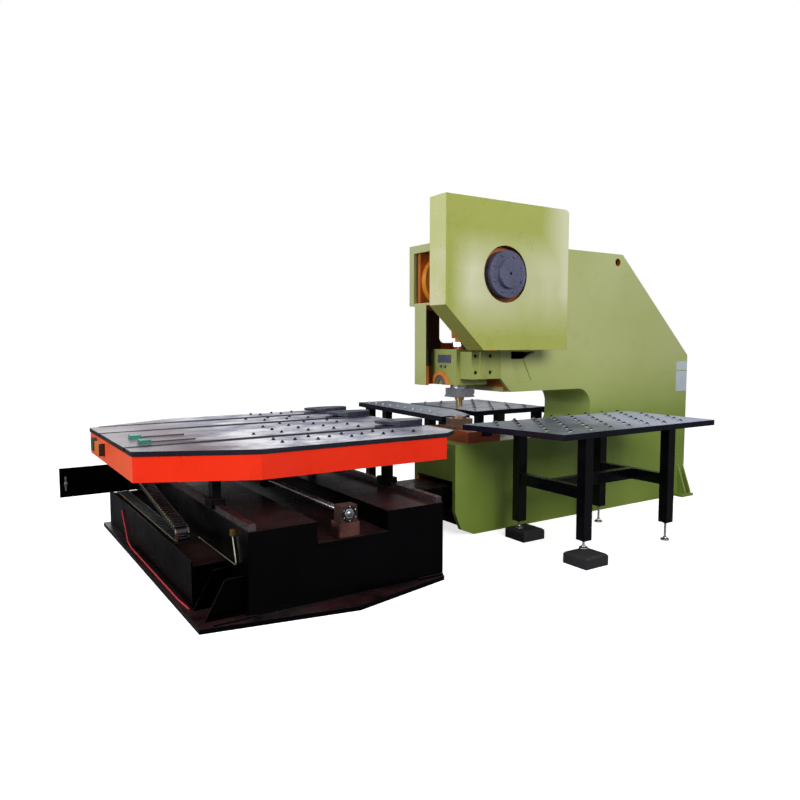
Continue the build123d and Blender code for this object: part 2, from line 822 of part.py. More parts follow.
die_block_top_z = sheet_z - 22
with BuildPart() as die_holder:
    block(
        head_axis_x - 120, head_axis_x + 120, press_mid_y - 120, press_mid_y + 120,
        bolster_top_z, bolster_top_z + 25,
    )
    block(
        head_axis_x - 82, head_axis_x + 82, press_mid_y - 82, press_mid_y + 82,
        bolster_top_z + 25, die_block_top_z,
    )
    rod_z(head_axis_x, press_mid_y, 40, bolster_top_z, die_block_top_z, Mode.SUBTRACT)
die_holder.part.label = "die_holder"
export_step(die_holder.part, "parts/die_holder.step")

with BuildPart() as die:
    rod_z(head_axis_x, press_mid_y, 62, die_block_top_z, sheet_z)
    rod_z(head_axis_x, press_mid_y, punch_r + 1, die_block_top_z, sheet_z, Mode.SUBTRACT)
die.part.label = "die"
export_step(die.part, "parts/die.step")

# two plain plates on the back edge of the near side
label_w = 180
label_t = 2
label_right_x = frame_back_x - 2
label_rows = (
    (slant_end_z - 156, slant_end_z - 63),
    (slant_end_z - 373, slant_end_z - 167),
)
with BuildPart() as label_plates:
    for low_z, high_z in label_rows:
        block(
            label_right_x - label_w, label_right_x, near_out_y - label_t, near_out_y,
            low_z, high_z,
        )
label_plates.part.label = "label_plates"
export_step(label_plates.part, "parts/label_plates.step")

# one table leg unit: four square tubes, an H of stretchers and rails under the top
leg_w = 80
leg_wall = 6
stretch_low_z = 455
stretch_high_z = 545
stretch_half_w = 30
top_rail_h = 40
top_rail_half_w = 20
leg_cap_t = 20
foot_stud_r = 9
flange_t = 3
ball_share = 0.57
leg_foot_z = 150


def table_frame(xs, ys):
    under_z = table_z - table_plate_t
    inner_w = leg_w - 2 * leg_wall
    inner_h = under_z - leg_foot_z - leg_cap_t
    mid_z = (leg_foot_z + under_z) / 2
    legs = [(x, y, mid_z) for x in xs for y in ys]
    with Locations(*legs):
        Box(leg_w, leg_w, under_z - leg_foot_z)
    for x in xs:
        block(
            x - stretch_half_w, x + stretch_half_w, ys[0], ys[1], stretch_low_z, stretch_high_z,
        )
        block(
            x - top_rail_half_w, x + top_rail_half_w, ys[0], ys[1],
            under_z - top_rail_h, under_z,
        )
    mid_y = (ys[0] + ys[1]) / 2
    block(
        xs[0], xs[1], mid_y - stretch_half_w, mid_y + stretch_half_w,
        stretch_low_z, stretch_high_z,
    )
    with Locations(*legs):
        Box(inner_w, inner_w, inner_h, mode=Mode.SUBTRACT)
    with Locations(*[(x, y, leg_foot_z) for x in xs for y in ys]):
        Cylinder(foot_stud_r, 30, mode=Mode.SUBTRACT)


def tray(points, thickness):
    flat_prism(points, table_z - table_skirt, table_z)
    with BuildSketch(Plane.XY.offset(table_z - table_skirt), mode=Mode.PRIVATE) as hollow:
        with BuildLine():
            Polyline(*points, close=True)
        make_face()
        offset(amount=-thickness, kind=Kind.INTERSECTION)
    extrude(hollow.sketch, amount=table_skirt - table_plate_t, mode=Mode.SUBTRACT)


def ball_units(spots, flange_r):
    ball_r = flange_r * ball_share
    with Locations(*[(x, y, table_z + flange_t / 2) for x, y in spots]):
        Cylinder(flange_r, flange_t)
    with Locations(*[(x, y, sheet_z - ball_r) for x, y in spots]):
        Sphere(ball_r)


def ball_holes(spots, radius, z0, z1):
    with Locations(*[(x, y, (z0 + z1) / 2) for x, y in spots]):
        Cylinder(radius, z1 - z0, mode=Mode.SUBTRACT)


row_lean = 0.77
row_pitch = 215
ball_pitch = 134
ball_flange_r = 23
ball_hole_r = 16
ball_edge_gap = 60
skirt_t = 8


def ball_rows(first_x, ref_y, rows, ys, left, right):
    spots = []
    for row in range(rows):
        for y in ys:
            x = first_x + row_pitch * row + row_lean * (y - ref_y)
            if left(y) + ball_edge_gap < x < right - ball_edge_gap:
                spots.append((x, y))
    return spots


# front side table, its left edge runs slanting out to the lower jaw
front_table_near_y = -1500
front_table_far_y = near_out_y - 130
front_table_left_x = -30
front_table_tip_x = -230
table_right_x = 1750
front_slope = (front_table_tip_x - front_table_left_x) / (front_table_far_y - front_table_near_y)


def front_left_edge(y):
    return front_table_left_x + front_slope * (y - front_table_near_y)


front_row_x = -201
front_row_y = -1000
front_ball_ys = [front_table_near_y + 100 + ball_pitch * n for n in range(7)]
front_balls = ball_rows(
    front_row_x, front_row_y, 10, front_ball_ys, front_left_edge, table_right_x
)
front_outline = [
    (front_table_left_x, front_table_near_y),
    (table_right_x, front_table_near_y),
    (table_right_x, front_table_far_y),
    (front_table_tip_x, front_table_far_y),
]
with BuildPart() as front_table_top:
    tray(front_outline, skirt_t)
    ball_holes(front_balls, ball_hole_r, table_z - table_plate_t, table_z)
front_table_top.part.label = "front_table_top"
export_step(front_table_top.part, "parts/front_table_top.step")

front_leg_xs = (240, 1200)
front_leg_ys = (-1450, -760)
table_under_z = table_z - table_skirt
angle_t = 12
angle_drop = 90
angle_w = 100
front_angle_x = head_axis_x + 60
with BuildPart() as front_table_frame:
    table_frame(front_leg_xs, front_leg_ys)
    block(
        front_angle_x - angle_w / 2, front_angle_x + angle_w / 2,
        front_table_far_y - 60, near_out_y, table_under_z - angle_t, table_under_z,
    )
    block(
        front_angle_x - angle_w / 2, front_angle_x + angle_w / 2,
        near_out_y - angle_t, near_out_y, table_under_z - angle_drop, table_under_z - angle_t,
    )
front_table_frame.part.label = "front_table_frame"
export_step(front_table_frame.part, "parts/front_table_frame.step")

# rear side table on the far side of the press
rear_table_left_x = 520
rear_table_right_x = 1445
rear_table_near_y = far_out_y + 35
rear_table_far_y = 1250
rear_outline = [
    (rear_table_left_x, rear_table_near_y),
    (rear_table_right_x, rear_table_near_y),
    (rear_table_right_x, rear_table_far_y),
    (rear_table_left_x, rear_table_far_y),
]


def rear_left_edge(y):
    return rear_table_left_x


rear_row_x = 158
rear_row_y = 800
rear_ball_ys = [rear_table_near_y + 75 + ball_pitch * n for n in range(8)]
rear_balls = ball_rows(
    rear_row_x, rear_row_y, 9, rear_ball_ys, rear_left_edge, rear_table_right_x
)
with BuildPart() as rear_table_top:
    tray(rear_outline, skirt_t)
    ball_holes(rear_balls, ball_hole_r, table_z - table_plate_t, table_z)
rear_table_top.part.label = "rear_table_top"
export_step(rear_table_top.part, "parts/rear_table_top.step")

# narrow ball strip between the platform and the rear table
strip_far_y = 1635
strip_near_y = -45
strip_outline = [
    (-25, strip_near_y),
    (290, strip_near_y),
    (470, 440),
    (480, strip_far_y),
    (100, strip_far_y),
]
strip_ball_pitch = 150
strip_ball_x = 112
strip_ball_y = 180
strip_lean = 0.045
strip_balls = []
for n in range(10):
    run = strip_ball_pitch * n
    strip_balls.append((strip_ball_x + strip_lean * run, strip_ball_y + run))
with BuildPart() as strip_table_top:
    tray(strip_outline, skirt_t)
    ball_holes(strip_balls, ball_hole_r, table_z - table_plate_t, table_z)
strip_table_top.part.label = "strip_table_top"
export_step(strip_table_top.part, "parts/strip_table_top.step")

strip_leg_xs = (170, 380)
strip_leg_ys = (400, 1500)
rear_leg_xs = (880, 1380)
rear_leg_ys = (230, 1140)
rear_angle_x0 = throat_back_x + 8
strip_riser_x = head_axis_x + 120
strip_riser_y = far_in_y - 20
with BuildPart() as rear_table_frames:
    table_frame(rear_leg_xs, rear_leg_ys)
    table_frame(strip_leg_xs, strip_leg_ys)
    block(
        rear_angle_x0, rear_table_right_x - 4, far_out_y, rear_table_near_y + 60,
        table_under_z - angle_t, table_under_z,
    )
    block(
        rear_angle_x0, rear_table_right_x - 4, far_out_y, far_out_y + angle_t,
        table_under_z - angle_drop, table_under_z - angle_t,
    )
    block(
        strip_riser_x - 40, strip_riser_x + 40, strip_riser_y - 40, strip_riser_y + 40,
        throat_floor_z + bolster_h, table_z - table_plate_t,
    )
rear_table_frames.part.label = "rear_table_frames"
export_step(rear_table_frames.part, "parts/rear_table_frames.step")

with BuildPart() as table_balls:
    ball_units(front_balls + rear_balls + strip_balls, ball_flange_r)
table_balls.part.label = "table_balls"
export_step(table_balls.part, "parts/table_balls.step")

# screw feet under every leg, two of them stand on isolation blocks
pad_h = 85
pad_legs = [(front_leg_xs[0], front_leg_ys[0]), (front_leg_xs[0], front_leg_ys[1])]
all_legs = []
for xs, ys in (
    (front_leg_xs, front_leg_ys),
    (rear_leg_xs, rear_leg_ys),
    (strip_leg_xs, strip_leg_ys),
):
    for x in xs:
        for y in ys:
            all_legs.append((x, y))
with BuildPart() as levelling_feet:
    for x, y in all_legs:
        foot_z = pad_h if (x, y) in pad_legs else 0
        rod_z(x, y, 34, foot_z, foot_z + 12)
        rod_z(x, y, 16, foot_z + 12, foot_z + 26)
        rod_z(x, y, foot_stud_r, foot_z + 26, leg_foot_z + 40)
levelling_feet.part.label = "levelling_feet"
export_step(levelling_feet.part, "parts/levelling_feet.step")

pad_x_half = 115
pad_y_half = 110
pad_shift_xs = (-60, 45)
pad_shift_ys = (-75, -20)
with BuildPart() as isolation_pads:
    for (x, y), shift_x, shift_y in zip(pad_legs, pad_shift_xs, pad_shift_ys):
        block(
            x + shift_x - pad_x_half, x + shift_x + pad_x_half,
            y + shift_y - pad_y_half, y + shift_y + pad_y_half, 0, pad_h,
        )
    chamfer(isolation_pads.edges().group_by(Axis.Z)[-1], 14)
isolation_pads.part.label = "isolation_pads"
export_step(isolation_pads.part, "parts/isolation_pads.step")

# feed base: floor plate, two hollow beams with the tie to the press, channel between them
base_left_x = base_mid_x - base_half
base_right_x = base_mid_x + base_half
plate_left_x = base_left_x - 288
toe_bar_w = 15
toe_bar_t = 15
toe_bars = (
    (base_left_x - 210, base_left_x + 45),
    (base_right_x - 206, base_right_x - 6),
)
plate_hole_inset = 50
base_plate_hole_r = 11
with BuildPart() as base_floor_plate:
    flat_prism(
        [
            (plate_left_x, base_front_y),
            (base_mid_x - 58, base_front_y - 180),
            (base_right_x, base_front_y - 20),
            (base_right_x, base_back_y),
            (plate_left_x, base_back_y),
        ],
        0,
        floor_plate_t,
    )
    for bar_x0, bar_x1 in toe_bars:
        block(
            bar_x0, bar_x1, base_front_y - toe_bar_w, base_front_y,
            floor_plate_t, floor_plate_t + toe_bar_t,
        )
    rod_z(
        plate_left_x + plate_hole_inset, base_front_y + 3 * plate_hole_inset,
        base_plate_hole_r, 0, floor_plate_t, Mode.SUBTRACT,
    )
base_floor_plate.part.label = "base_floor_plate"
export_step(base_floor_plate.part, "parts/base_floor_plate.step")


def beam(x0, x1):
    block(x0, x1, base_front_y, base_back_y, floor_plate_t, beam_top_z)
    block(
        x0 + wall_t, x1 - wall_t, base_front_y + wall_t, base_back_y - wall_t,
        floor_plate_t, beam_top_z - wall_t, Mode.SUBTRACT,
    )


tie_half_w = 205
tie_wall = 12
tie_near_y = press_mid_y - tie_half_w
tie_far_y = press_mid_y + tie_half_w
tie_low_z = 215
tie_high_z = 415
with BuildPart() as base_beams:
    beam(base_left_x, base_mid_x - channel_half)
    beam(base_mid_x + channel_half, base_right_x)
    block(base_right_x, tie_plate_x, tie_near_y, tie_far_y, tie_low_z, tie_high_z)
    block(
        base_right_x, tie_plate_x, tie_near_y + tie_wall, tie_far_y - tie_wall,
        tie_low_z + tie_wall, tie_high_z - tie_wall, Mode.SUBTRACT,
    )
base_beams.part.label = "base_beams"
export_step(base_beams.part, "parts/base_beams.step")


rail_xs = (base_mid_x - rail_half_gauge, base_mid_x + rail_half_gauge)
rail_front_y = base_front_y + 8
rail_back_y = base_back_y - 20
with BuildPart() as y_rails:
    for x in rail_xs:
        block(
            x - rail_w / 2, x + rail_w / 2, rail_front_y, rail_back_y,
            beam_top_z, beam_top_z + rail_h,
        )
y_rails.part.label = "y_rails"
export_step(y_rails.part, "parts/y_rails.step")

# cable trough along the left side, with two gussets and the panel at its rear end
trough_left_x = base_left_x - 230
trough_front_y = base_front_y + 322
trough_floor_z = 286
trough_top_z = 318
trough_t = 8
gusset_ys = (trough_front_y - 40, trough_front_y - 250)
gusset_h = 257
panel_reach = 625
panel_left_x = base_left_x - panel_reach
panel_t = 6
panel_low_z = 290
panel_h = 250
with BuildPart() as cable_trough:
    block(
        trough_left_x, trough_left_x + trough_t, trough_front_y, base_back_y,
        floor_plate_t, trough_top_z,
    )
    block(
        trough_left_x + trough_t, base_left_x, trough_front_y, base_back_y,
        trough_floor_z - trough_t, trough_floor_z,
    )
    block(
        trough_left_x + trough_t, base_left_x, trough_front_y, trough_front_y + trough_t,
        floor_plate_t, trough_floor_z - trough_t,
    )
    for y in gusset_ys:
        side_prism(
            [
                (base_left_x, floor_plate_t),
                (trough_left_x - 6, floor_plate_t),
                (trough_left_x + 10, floor_plate_t + 32),
                (trough_left_x + 114, gusset_h - 7),
                (trough_left_x + 140, gusset_h),
                (base_left_x, gusset_h),
            ],
            y,
            y + trough_t,
        )
    block(
        panel_left_x, base_left_x, base_back_y, base_back_y + panel_t,
        panel_low_z, panel_low_z + panel_h,
    )
cable_trough.part.label = "cable_trough"
export_step(cable_trough.part, "parts/cable_trough.step")

# air hose clipped to the trough wall and along the edge of the floor plate
red_hose_r = 6
hose_lie_z = floor_plate_t + red_hose_r + 0.5
hose_rear_y = base_back_y - 535
hose_front_y = trough_front_y - 7
hose_route = [
    (trough_left_x - 8, hose_rear_y, trough_top_z - 78),
    (trough_left_x - 12, hose_rear_y - 140, floor_plate_t + 88),
    (trough_left_x - 22, hose_rear_y - 265, floor_plate_t + 16),
    (trough_left_x - 30, hose_rear_y - 420, hose_lie_z),
    (trough_left_x - 32, hose_front_y + 185, hose_lie_z),
    (trough_left_x - 22, hose_front_y, hose_lie_z),
]
with BuildPart() as red_hose:
    with BuildLine():
        FilletPolyline(*hose_route, radius=60)
    with BuildSketch(Plane(hose_route[0], z_dir=Vector(*hose_route[1]) - Vector(*hose_route[0]))):
        Circle(red_hose_r)
    sweep()
red_hose.part.label = "red_hose"
export_step(red_hose.part, "parts/red_hose.step")

# ball screw of the platform, its two bearing blocks on pedestals, and the motor
bearing_half = 58
bearing_len = 88
screw_collar_r = 34
screw_front_y = base_front_y + 3
front_bearing_y = base_front_y + 55
rear_bearing_y = base_back_y - 285
y_motor_y = rear_bearing_y + bearing_len / 2 + 55
pedestal_z = screw_z - bearing_half
with BuildPart() as y_screw_blocks:
    for y in (front_bearing_y, rear_bearing_y):
        block(
            screw_x - bearing_half, screw_x + bearing_half,
            y - bearing_len / 2, y + bearing_len / 2, pedestal_z, screw_z + bearing_half - 8,
        )
        rod_y(
            screw_x, screw_z, screw_r + run_gap, y - bearing_len / 2, y + bearing_len / 2,
            Mode.SUBTRACT,
        )
y_screw_blocks.part.label = "y_screw_blocks"
export_step(y_screw_blocks.part, "parts/y_screw_blocks.step")

# closed channel under the screw with the two welded pedestals
with BuildPart() as base_channel:
    block(
        base_mid_x - channel_half, base_mid_x + channel_half,
        base_front_y - 12, base_back_y, deck_z - wall_t, deck_z,
    )
    block(
        base_mid_x - channel_half, base_mid_x + channel_half,
        base_front_y, base_front_y + wall_t, floor_plate_t, deck_z - wall_t,
    )
    block(
        base_mid_x - channel_half, base_mid_x + channel_half,
        base_back_y - wall_t, base_back_y, floor_plate_t, deck_z - wall_t,
    )
    for y in (front_bearing_y, rear_bearing_y):
        block(
            screw_x - bearing_half - 8, screw_x + bearing_half + 14,
            y - bearing_len / 2 - 4, y + bearing_len / 2 + 26, deck_z, pedestal_z,
        )
base_channel.part.label = "base_channel"
export_step(base_channel.part, "parts/base_channel.step")

with BuildPart() as y_ball_screw:
    rod_y(
        screw_x, screw_z, screw_r, screw_front_y, rear_bearing_y + bearing_len / 2 + 50,
    )
    rod_y(
        screw_x, screw_z, screw_collar_r, screw_front_y,
        front_bearing_y - bearing_len / 2 - run_gap,
    )
y_ball_screw.part.label = "y_ball_screw"
export_step(y_ball_screw.part, "parts/y_ball_screw.step")

y_motor_half = 65
with BuildPart() as y_motor:
    block(
        screw_x - y_motor_half, screw_x + y_motor_half, y_motor_y, base_back_y - 40,
        screw_z - y_motor_half, screw_z + y_motor_half,
    )
    block(
        screw_x - y_motor_half, screw_x + y_motor_half, y_motor_y + 20, base_back_y - 60,
        deck_z, screw_z - y_motor_half,
    )
y_motor.part.label = "y_motor"
export_step(y_motor.part, "parts/y_motor.step")

# grease line: a thin bent steel pipe clipped to the beam, and its brass fitting
pipe_r = 4
pipe_x = base_left_x - 12
pipe_z = 297
pipe_rear_y = base_front_y + 890
pipe_front_y = base_front_y + 160
pipe_top_y = pipe_front_y + 60
fitting_z = 462
fitting_h = 38
with BuildPart() as grease_pipe:
    with BuildLine():
        FilletPolyline(
            (pipe_x, pipe_rear_y, pipe_z),
            (pipe_x, pipe_front_y, pipe_z),
            (pipe_x, pipe_top_y, fitting_z),
            radius=14,
        )
    with BuildSketch(Plane((pipe_x, pipe_rear_y, pipe_z), z_dir=(0, -1, 0))):
        Circle(pipe_r)
    sweep()
    block(
        base_left_x - 24, base_left_x, pipe_top_y - 16, pipe_top_y + 14,
        fitting_z, fitting_z + fitting_h,
    )
grease_pipe.part.label = "grease_pipe"
export_step(grease_pipe.part, "parts/grease_pipe.step")

# platform: an open tray of folded plate that tapers towards its left end


def platform_points(inset):
    half = platform_half - inset
    end_half = platform_end_half - inset * 0.62
    return [
        (platform_left_x + inset, platform_mid_y - end_half),
        (platform_kink_x + inset * 0.2, platform_mid_y - half),
        (platform_right_x - inset, platform_mid_y - half),
        (platform_right_x - inset, platform_mid_y + half),
        (platform_kink_x + inset * 0.2, platform_mid_y + half),
        (platform_left_x + inset, platform_mid_y + end_half),
    ]


platform_wall = 20
platform_floor_z = platform_bottom_z + platform_wall
x_rail_ys = (slot_ys[0] + 230, slot_ys[2] - 180)
x_screw_y = slot_ys[1] - 75
x_screw_z = platform_floor_z + 81
x_screw_r = 16
with BuildPart() as platform_frame:
    flat_prism(platform_points(0), platform_bottom_z, platform_frame_top_z)
    flat_prism(
        platform_points(platform_wall), platform_floor_z, platform_frame_top_z, Mode.SUBTRACT
    )
    rod_x(
        x_screw_y, x_screw_z, x_screw_r + 6, platform_left_x, platform_left_x + platform_wall,
        Mode.SUBTRACT,
    )
platform_frame.part.label = "platform_frame"
export_step(platform_frame.part, "parts/platform_frame.step")

# four top plates with three slots between them
top_right_x = platform_right_x + 140
top_edge_over = 6
top_points = [
    (platform_left_x - top_edge_over, platform_mid_y - platform_end_half - top_edge_over),
    (platform_kink_x, platform_mid_y - platform_half - top_edge_over),
    (platform_right_x, platform_mid_y - platform_half - top_edge_over),
    (top_right_x, platform_mid_y - platform_half + 100),
    (top_right_x, platform_mid_y + platform_half - 100),
    (platform_right_x, platform_mid_y + platform_half + top_edge_over),
    (platform_kink_x, platform_mid_y + platform_half + top_edge_over),
    (platform_left_x - top_edge_over, platform_mid_y + platform_end_half + top_edge_over),
]
# each row of ball units: its distance from a slot, where it starts, how many, how far apart
strip_pitch = 257
field_pitch = 212
rear_pitch = 199
platform_ball_rows = (
    (slot_ys[0] - 320, 219, 5, strip_pitch),
    (slot_ys[0] - 250, 340, 4, strip_pitch),
    (slot_ys[0] - 170, 219, 4, strip_pitch),
    (slot_ys[0] + 155, 208, 5, field_pitch),
    (slot_ys[0] + 330, 420, 4, field_pitch),
    (slot_ys[0] + 505, 420, 4, field_pitch),
    (slot_ys[0] + 680, 632, 3, field_pitch),
    (slot_ys[1] + 135, 614, 3, rear_pitch),
    (slot_ys[1] + 305, 514, 3, rear_pitch),
    (slot_ys[2] + 150, 753, 2, rear_pitch),
    (slot_ys[2] + 240, 698, 3, rear_pitch),
)
platform_ball_spots = [
    (platform_kink_x + start + pitch * place, y)
    for y, start, count, pitch in platform_ball_rows
    for place in range(count)
]
plate_hole_r = 11
platform_flange_r = 15
with BuildPart() as platform_tops:
    flat_prism(top_points, platform_frame_top_z, table_z)
    for y in slot_ys:
        block(
            platform_left_x - 40, top_right_x + 40, y - slot_w / 2, y + slot_w / 2,
            platform_frame_top_z, table_z, Mode.SUBTRACT,
        )
    ball_holes(platform_ball_spots, plate_hole_r, platform_frame_top_z, table_z)
platform_tops.part.label = "platform_tops"
export_step(platform_tops.part, "parts/platform_tops.step")

with BuildPart() as platform_balls:
    ball_units(platform_ball_spots, platform_flange_r)
platform_balls.part.label = "platform_balls"
export_step(platform_balls.part, "parts/platform_balls.step")

# runner blocks on the rails, the posts on them that carry the platform, and the screw's nut
block_ys = (platform_mid_y - block_offset_y, platform_mid_y + block_offset_y)
runner_half_x = 45
runner_half_y = 70
runner_low_z = beam_top_z + 14
runner_top_z = beam_top_z + rail_h + 34
post_half_x = 28
post_half_y = 40
nut_half = 50
with BuildPart() as platform_supports:
    for x in rail_xs:
        for y in block_ys:
            block(
                x - runner_half_x, x + runner_half_x, y - runner_half_y, y + runner_half_y,
                runner_low_z, runner_top_z,
            )
            block(
                x - rail_w / 2 - slide_gap, x + rail_w / 2 + slide_gap,
                y - runner_half_y, y + runner_half_y,
                runner_low_z, beam_top_z + rail_h + slide_gap, Mode.SUBTRACT,
            )
            block(
                x - post_half_x, x + post_half_x, y - post_half_y, y + post_half_y,
                runner_top_z, platform_bottom_z,
            )
    block(
        screw_x - nut_half, screw_x + nut_half,
        platform_mid_y - nut_half, platform_mid_y + nut_half,
        screw_z - nut_half, platform_bottom_z,
    )
    rod_y(
        screw_x, screw_z, screw_r + run_gap,
        platform_mid_y - nut_half, platform_mid_y + nut_half, Mode.SUBTRACT,
    )
platform_supports.part.label = "platform_supports"
export_step(platform_supports.part, "parts/platform_supports.step")

# rails, screw and motor of the clamp carriage, inside the platform tray
x_rail_w = 30
x_rail_h = 28
x_rail_left = platform_left_x + 130
x_rail_right = platform_right_x - 40
x_rail_top_z = platform_floor_z + x_rail_h
x_bearing_xs = (x_rail_left + 30, x_rail_right - 30)
with BuildPart() as x_guides:
    for y in x_rail_ys:
        block(
            x_rail_left, x_rail_right, y - x_rail_w / 2, y + x_rail_w / 2,
            platform_floor_z, x_rail_top_z,
        )
    for x in x_bearing_xs:
        block(x - 25, x + 25, x_screw_y - 45, x_screw_y + 45, platform_floor_z, x_screw_z + 40)
        rod_x(x_screw_y, x_screw_z, x_screw_r + run_gap, x - 25, x + 25, Mode.SUBTRACT)
x_guides.part.label = "x_guides"
export_step(x_guides.part, "parts/x_guides.step")

with BuildPart() as x_ball_screw:
    rod_x(
        x_screw_y, x_screw_z, x_screw_r, platform_left_x + slide_gap, x_bearing_xs[1] + 30,
    )
x_ball_screw.part.label = "x_ball_screw"
export_step(x_ball_screw.part, "parts/x_ball_screw.step")

# orange motor box on the left end and the striped plug beside it
motor_box_t = 40
motor_box_ys = (x_screw_y - 80, x_screw_y + 85)
motor_box_low_z = platform_bottom_z + 50
motor_box_h = 86
plug_t = 30
plug_ys = (x_screw_y + 215, x_screw_y + 295)
plug_low_z = platform_bottom_z + 48
plug_h = 92
with BuildPart() as platform_end_boxes:
    block(
        platform_left_x - motor_box_t, platform_left_x, *motor_box_ys,
        motor_box_low_z, motor_box_low_z + motor_box_h,
    )
    block(
        platform_left_x - plug_t, platform_left_x, *plug_ys, plug_low_z, plug_low_z + plug_h,
    )
platform_end_boxes.part.label = "platform_end_boxes"
export_step(platform_end_boxes.part, "parts/platform_end_boxes.step")

# clamp carriage: a cross beam on the inner rails with three arms up through the slots
jaw_right_x = top_right_x - 20
jaw_left_x = jaw_right_x - 400
beam_left_x = jaw_left_x + 30
beam_right_x = beam_left_x + 140
beam_low_z = x_rail_top_z + 26
beam_high_z = platform_frame_top_z - 27
arm_half = 13
jaw_low_z = table_z + 2
jaw_t = 13
jaw_half_w = 92
pivot_x = jaw_left_x + 130
jaw_gap = 3
upper_h = 36
upper_low_z = jaw_low_z + jaw_t + jaw_gap
upper_top_z = upper_low_z + upper_h
pivot_z = upper_low_z + 19
pivot_r = 7
lug_half = 16


def jaw_outline(y):
    return [
        (jaw_left_x, y - 35),
        (jaw_left_x + 60, y - jaw_half_w + 14),
        (jaw_left_x + 150, y - jaw_half_w),
        (jaw_right_x - 150, y - jaw_half_w),
        (jaw_right_x - 50, y - jaw_half_w + 24),
        (jaw_right_x, y - 30),
        (jaw_right_x, y + 30),
        (jaw_right_x - 50, y + jaw_half_w - 24),
        (jaw_right_x - 150, y + jaw_half_w),
        (jaw_left_x + 150, y + jaw_half_w),
        (jaw_left_x + 60, y + jaw_half_w - 14),
        (jaw_left_x, y + 35),
    ]


with BuildPart() as clamp_carriage:
    block(
        beam_left_x, beam_right_x, slot_ys[0] - 40, slot_ys[2] + 40, beam_low_z, beam_high_z,
    )
    for y in x_rail_ys:
        block(beam_left_x, beam_right_x, y - 40, y + 40, platform_floor_z + 10, beam_low_z)
        block(
            beam_left_x, beam_right_x, y - x_rail_w / 2 - slide_gap, y + x_rail_w / 2 + slide_gap,
            platform_floor_z + 10, x_rail_top_z + slide_gap, Mode.SUBTRACT,
        )
    for y in slot_ys:
        block(beam_left_x, beam_right_x + 40, y - arm_half, y + arm_half, beam_high_z, jaw_low_z)
    rod_x(
        x_screw_y, x_screw_z, x_screw_r + run_gap, beam_left_x, beam_right_x, Mode.SUBTRACT,
    )
    for y in slot_ys:
        flat_prism(jaw_outline(y), jaw_low_z, jaw_low_z + jaw_t)
        block(
            pivot_x - 18, pivot_x + 18, y - lug_half, y + lug_half,
            jaw_low_z + jaw_t, pivot_z + 12,
        )
        rod_y(pivot_x, pivot_z, pivot_r, y - lug_half, y + lug_half, Mode.SUBTRACT)
    for y in slot_ys:
        rod_y(pivot_x, pivot_z, pivot_r, y - 60, y + 60)
clamp_carriage.part.label = "clamp_carriage"
export_step(clamp_carriage.part, "parts/clamp_carriage.step")


def upper_jaw(y):
    flat_prism(jaw_outline(y), upper_low_z, upper_top_z)
    side_prism(
        [
            (jaw_left_x - 1, upper_low_z - 1),
            (pivot_x - 5, upper_low_z - 1),
            (pivot_x - 5, upper_low_z),
            (jaw_left_x - 1, upper_low_z + 17),
        ],
        y - jaw_half_w - 1,
        y + jaw_half_w + 1,
        Mode.SUBTRACT,
    )
    block(
        pivot_x - 26, pivot_x + 26, y - lug_half - 1, y + lug_half + 1,
        upper_low_z, upper_top_z, Mode.SUBTRACT,
    )
    rod_y(pivot_x, pivot_z, pivot_r + run_gap, y - 61, y + 61, Mode.SUBTRACT)
    fillet(edges().group_by(Axis.Z)[-1].filter_by(GeomType.LINE).filter_by(
        lambda edge: edge.length > 90 and abs(edge.center().Y - y) > lug_half + 2
    ), 9)


with BuildPart() as upper_jaw_near:
    upper_jaw(slot_ys[0])
upper_jaw_near.part.label = "upper_jaw_near"
export_step(upper_jaw_near.part, "parts/upper_jaw_near.step")

with BuildPart() as upper_jaw_middle:
    upper_jaw(slot_ys[1])
upper_jaw_middle.part.label = "upper_jaw_middle"
export_step(upper_jaw_middle.part, "parts/upper_jaw_middle.step")

with BuildPart() as upper_jaw_far:
    upper_jaw(slot_ys[2])
upper_jaw_far.part.label = "upper_jaw_far"
export_step(upper_jaw_far.part, "parts/upper_jaw_far.step")

# drag chain from the trough up to the platform
chain_x = trough_left_x + 40
chain_w = 96
chain_t = 30
chain_low_z = trough_floor_z + chain_t / 2
bend_r = 46
bend_y = -370
chain_fixed_y = 1400
chain_top_y = 700
chain_rise = math.radians(8.1)
bend_top = (
    bend_y - bend_r * math.sin(chain_rise),
    chain_low_z + bend_r + bend_r * math.cos(chain_rise),
)
chain_end_z = bend_top[1] + (chain_top_y - bend_top[0]) * math.tan(chain_rise)
with BuildPart() as drag_chain:
    with BuildSketch(Plane.YZ.offset(chain_x)):
        with BuildLine():
            Line((chain_fixed_y, chain_low_z), (bend_y, chain_low_z))
            CenterArc(
                (bend_y, chain_low_z + bend_r), bend_r, -90, -(180 - math.degrees(chain_rise))
            )
            Line(bend_top, (chain_top_y, chain_end_z))
        trace(line_width=chain_t)
    extrude(amount=chain_w)
drag_chain.part.label = "drag_chain"
export_step(drag_chain.part, "parts/drag_chain.step")

# plate under the platform whose lower edge passes just over the end of the chain
bracket_clear = 1.5
with BuildPart() as chain_bracket:
    block(
        chain_x + 10, chain_x + chain_w - 10, chain_top_y - 40, chain_top_y - 28,
        chain_end_z + chain_t / 2 + bracket_clear, platform_bottom_z,
    )
chain_bracket.part.label = "chain_bracket"
export_step(chain_bracket.part, "parts/chain_bracket.step")

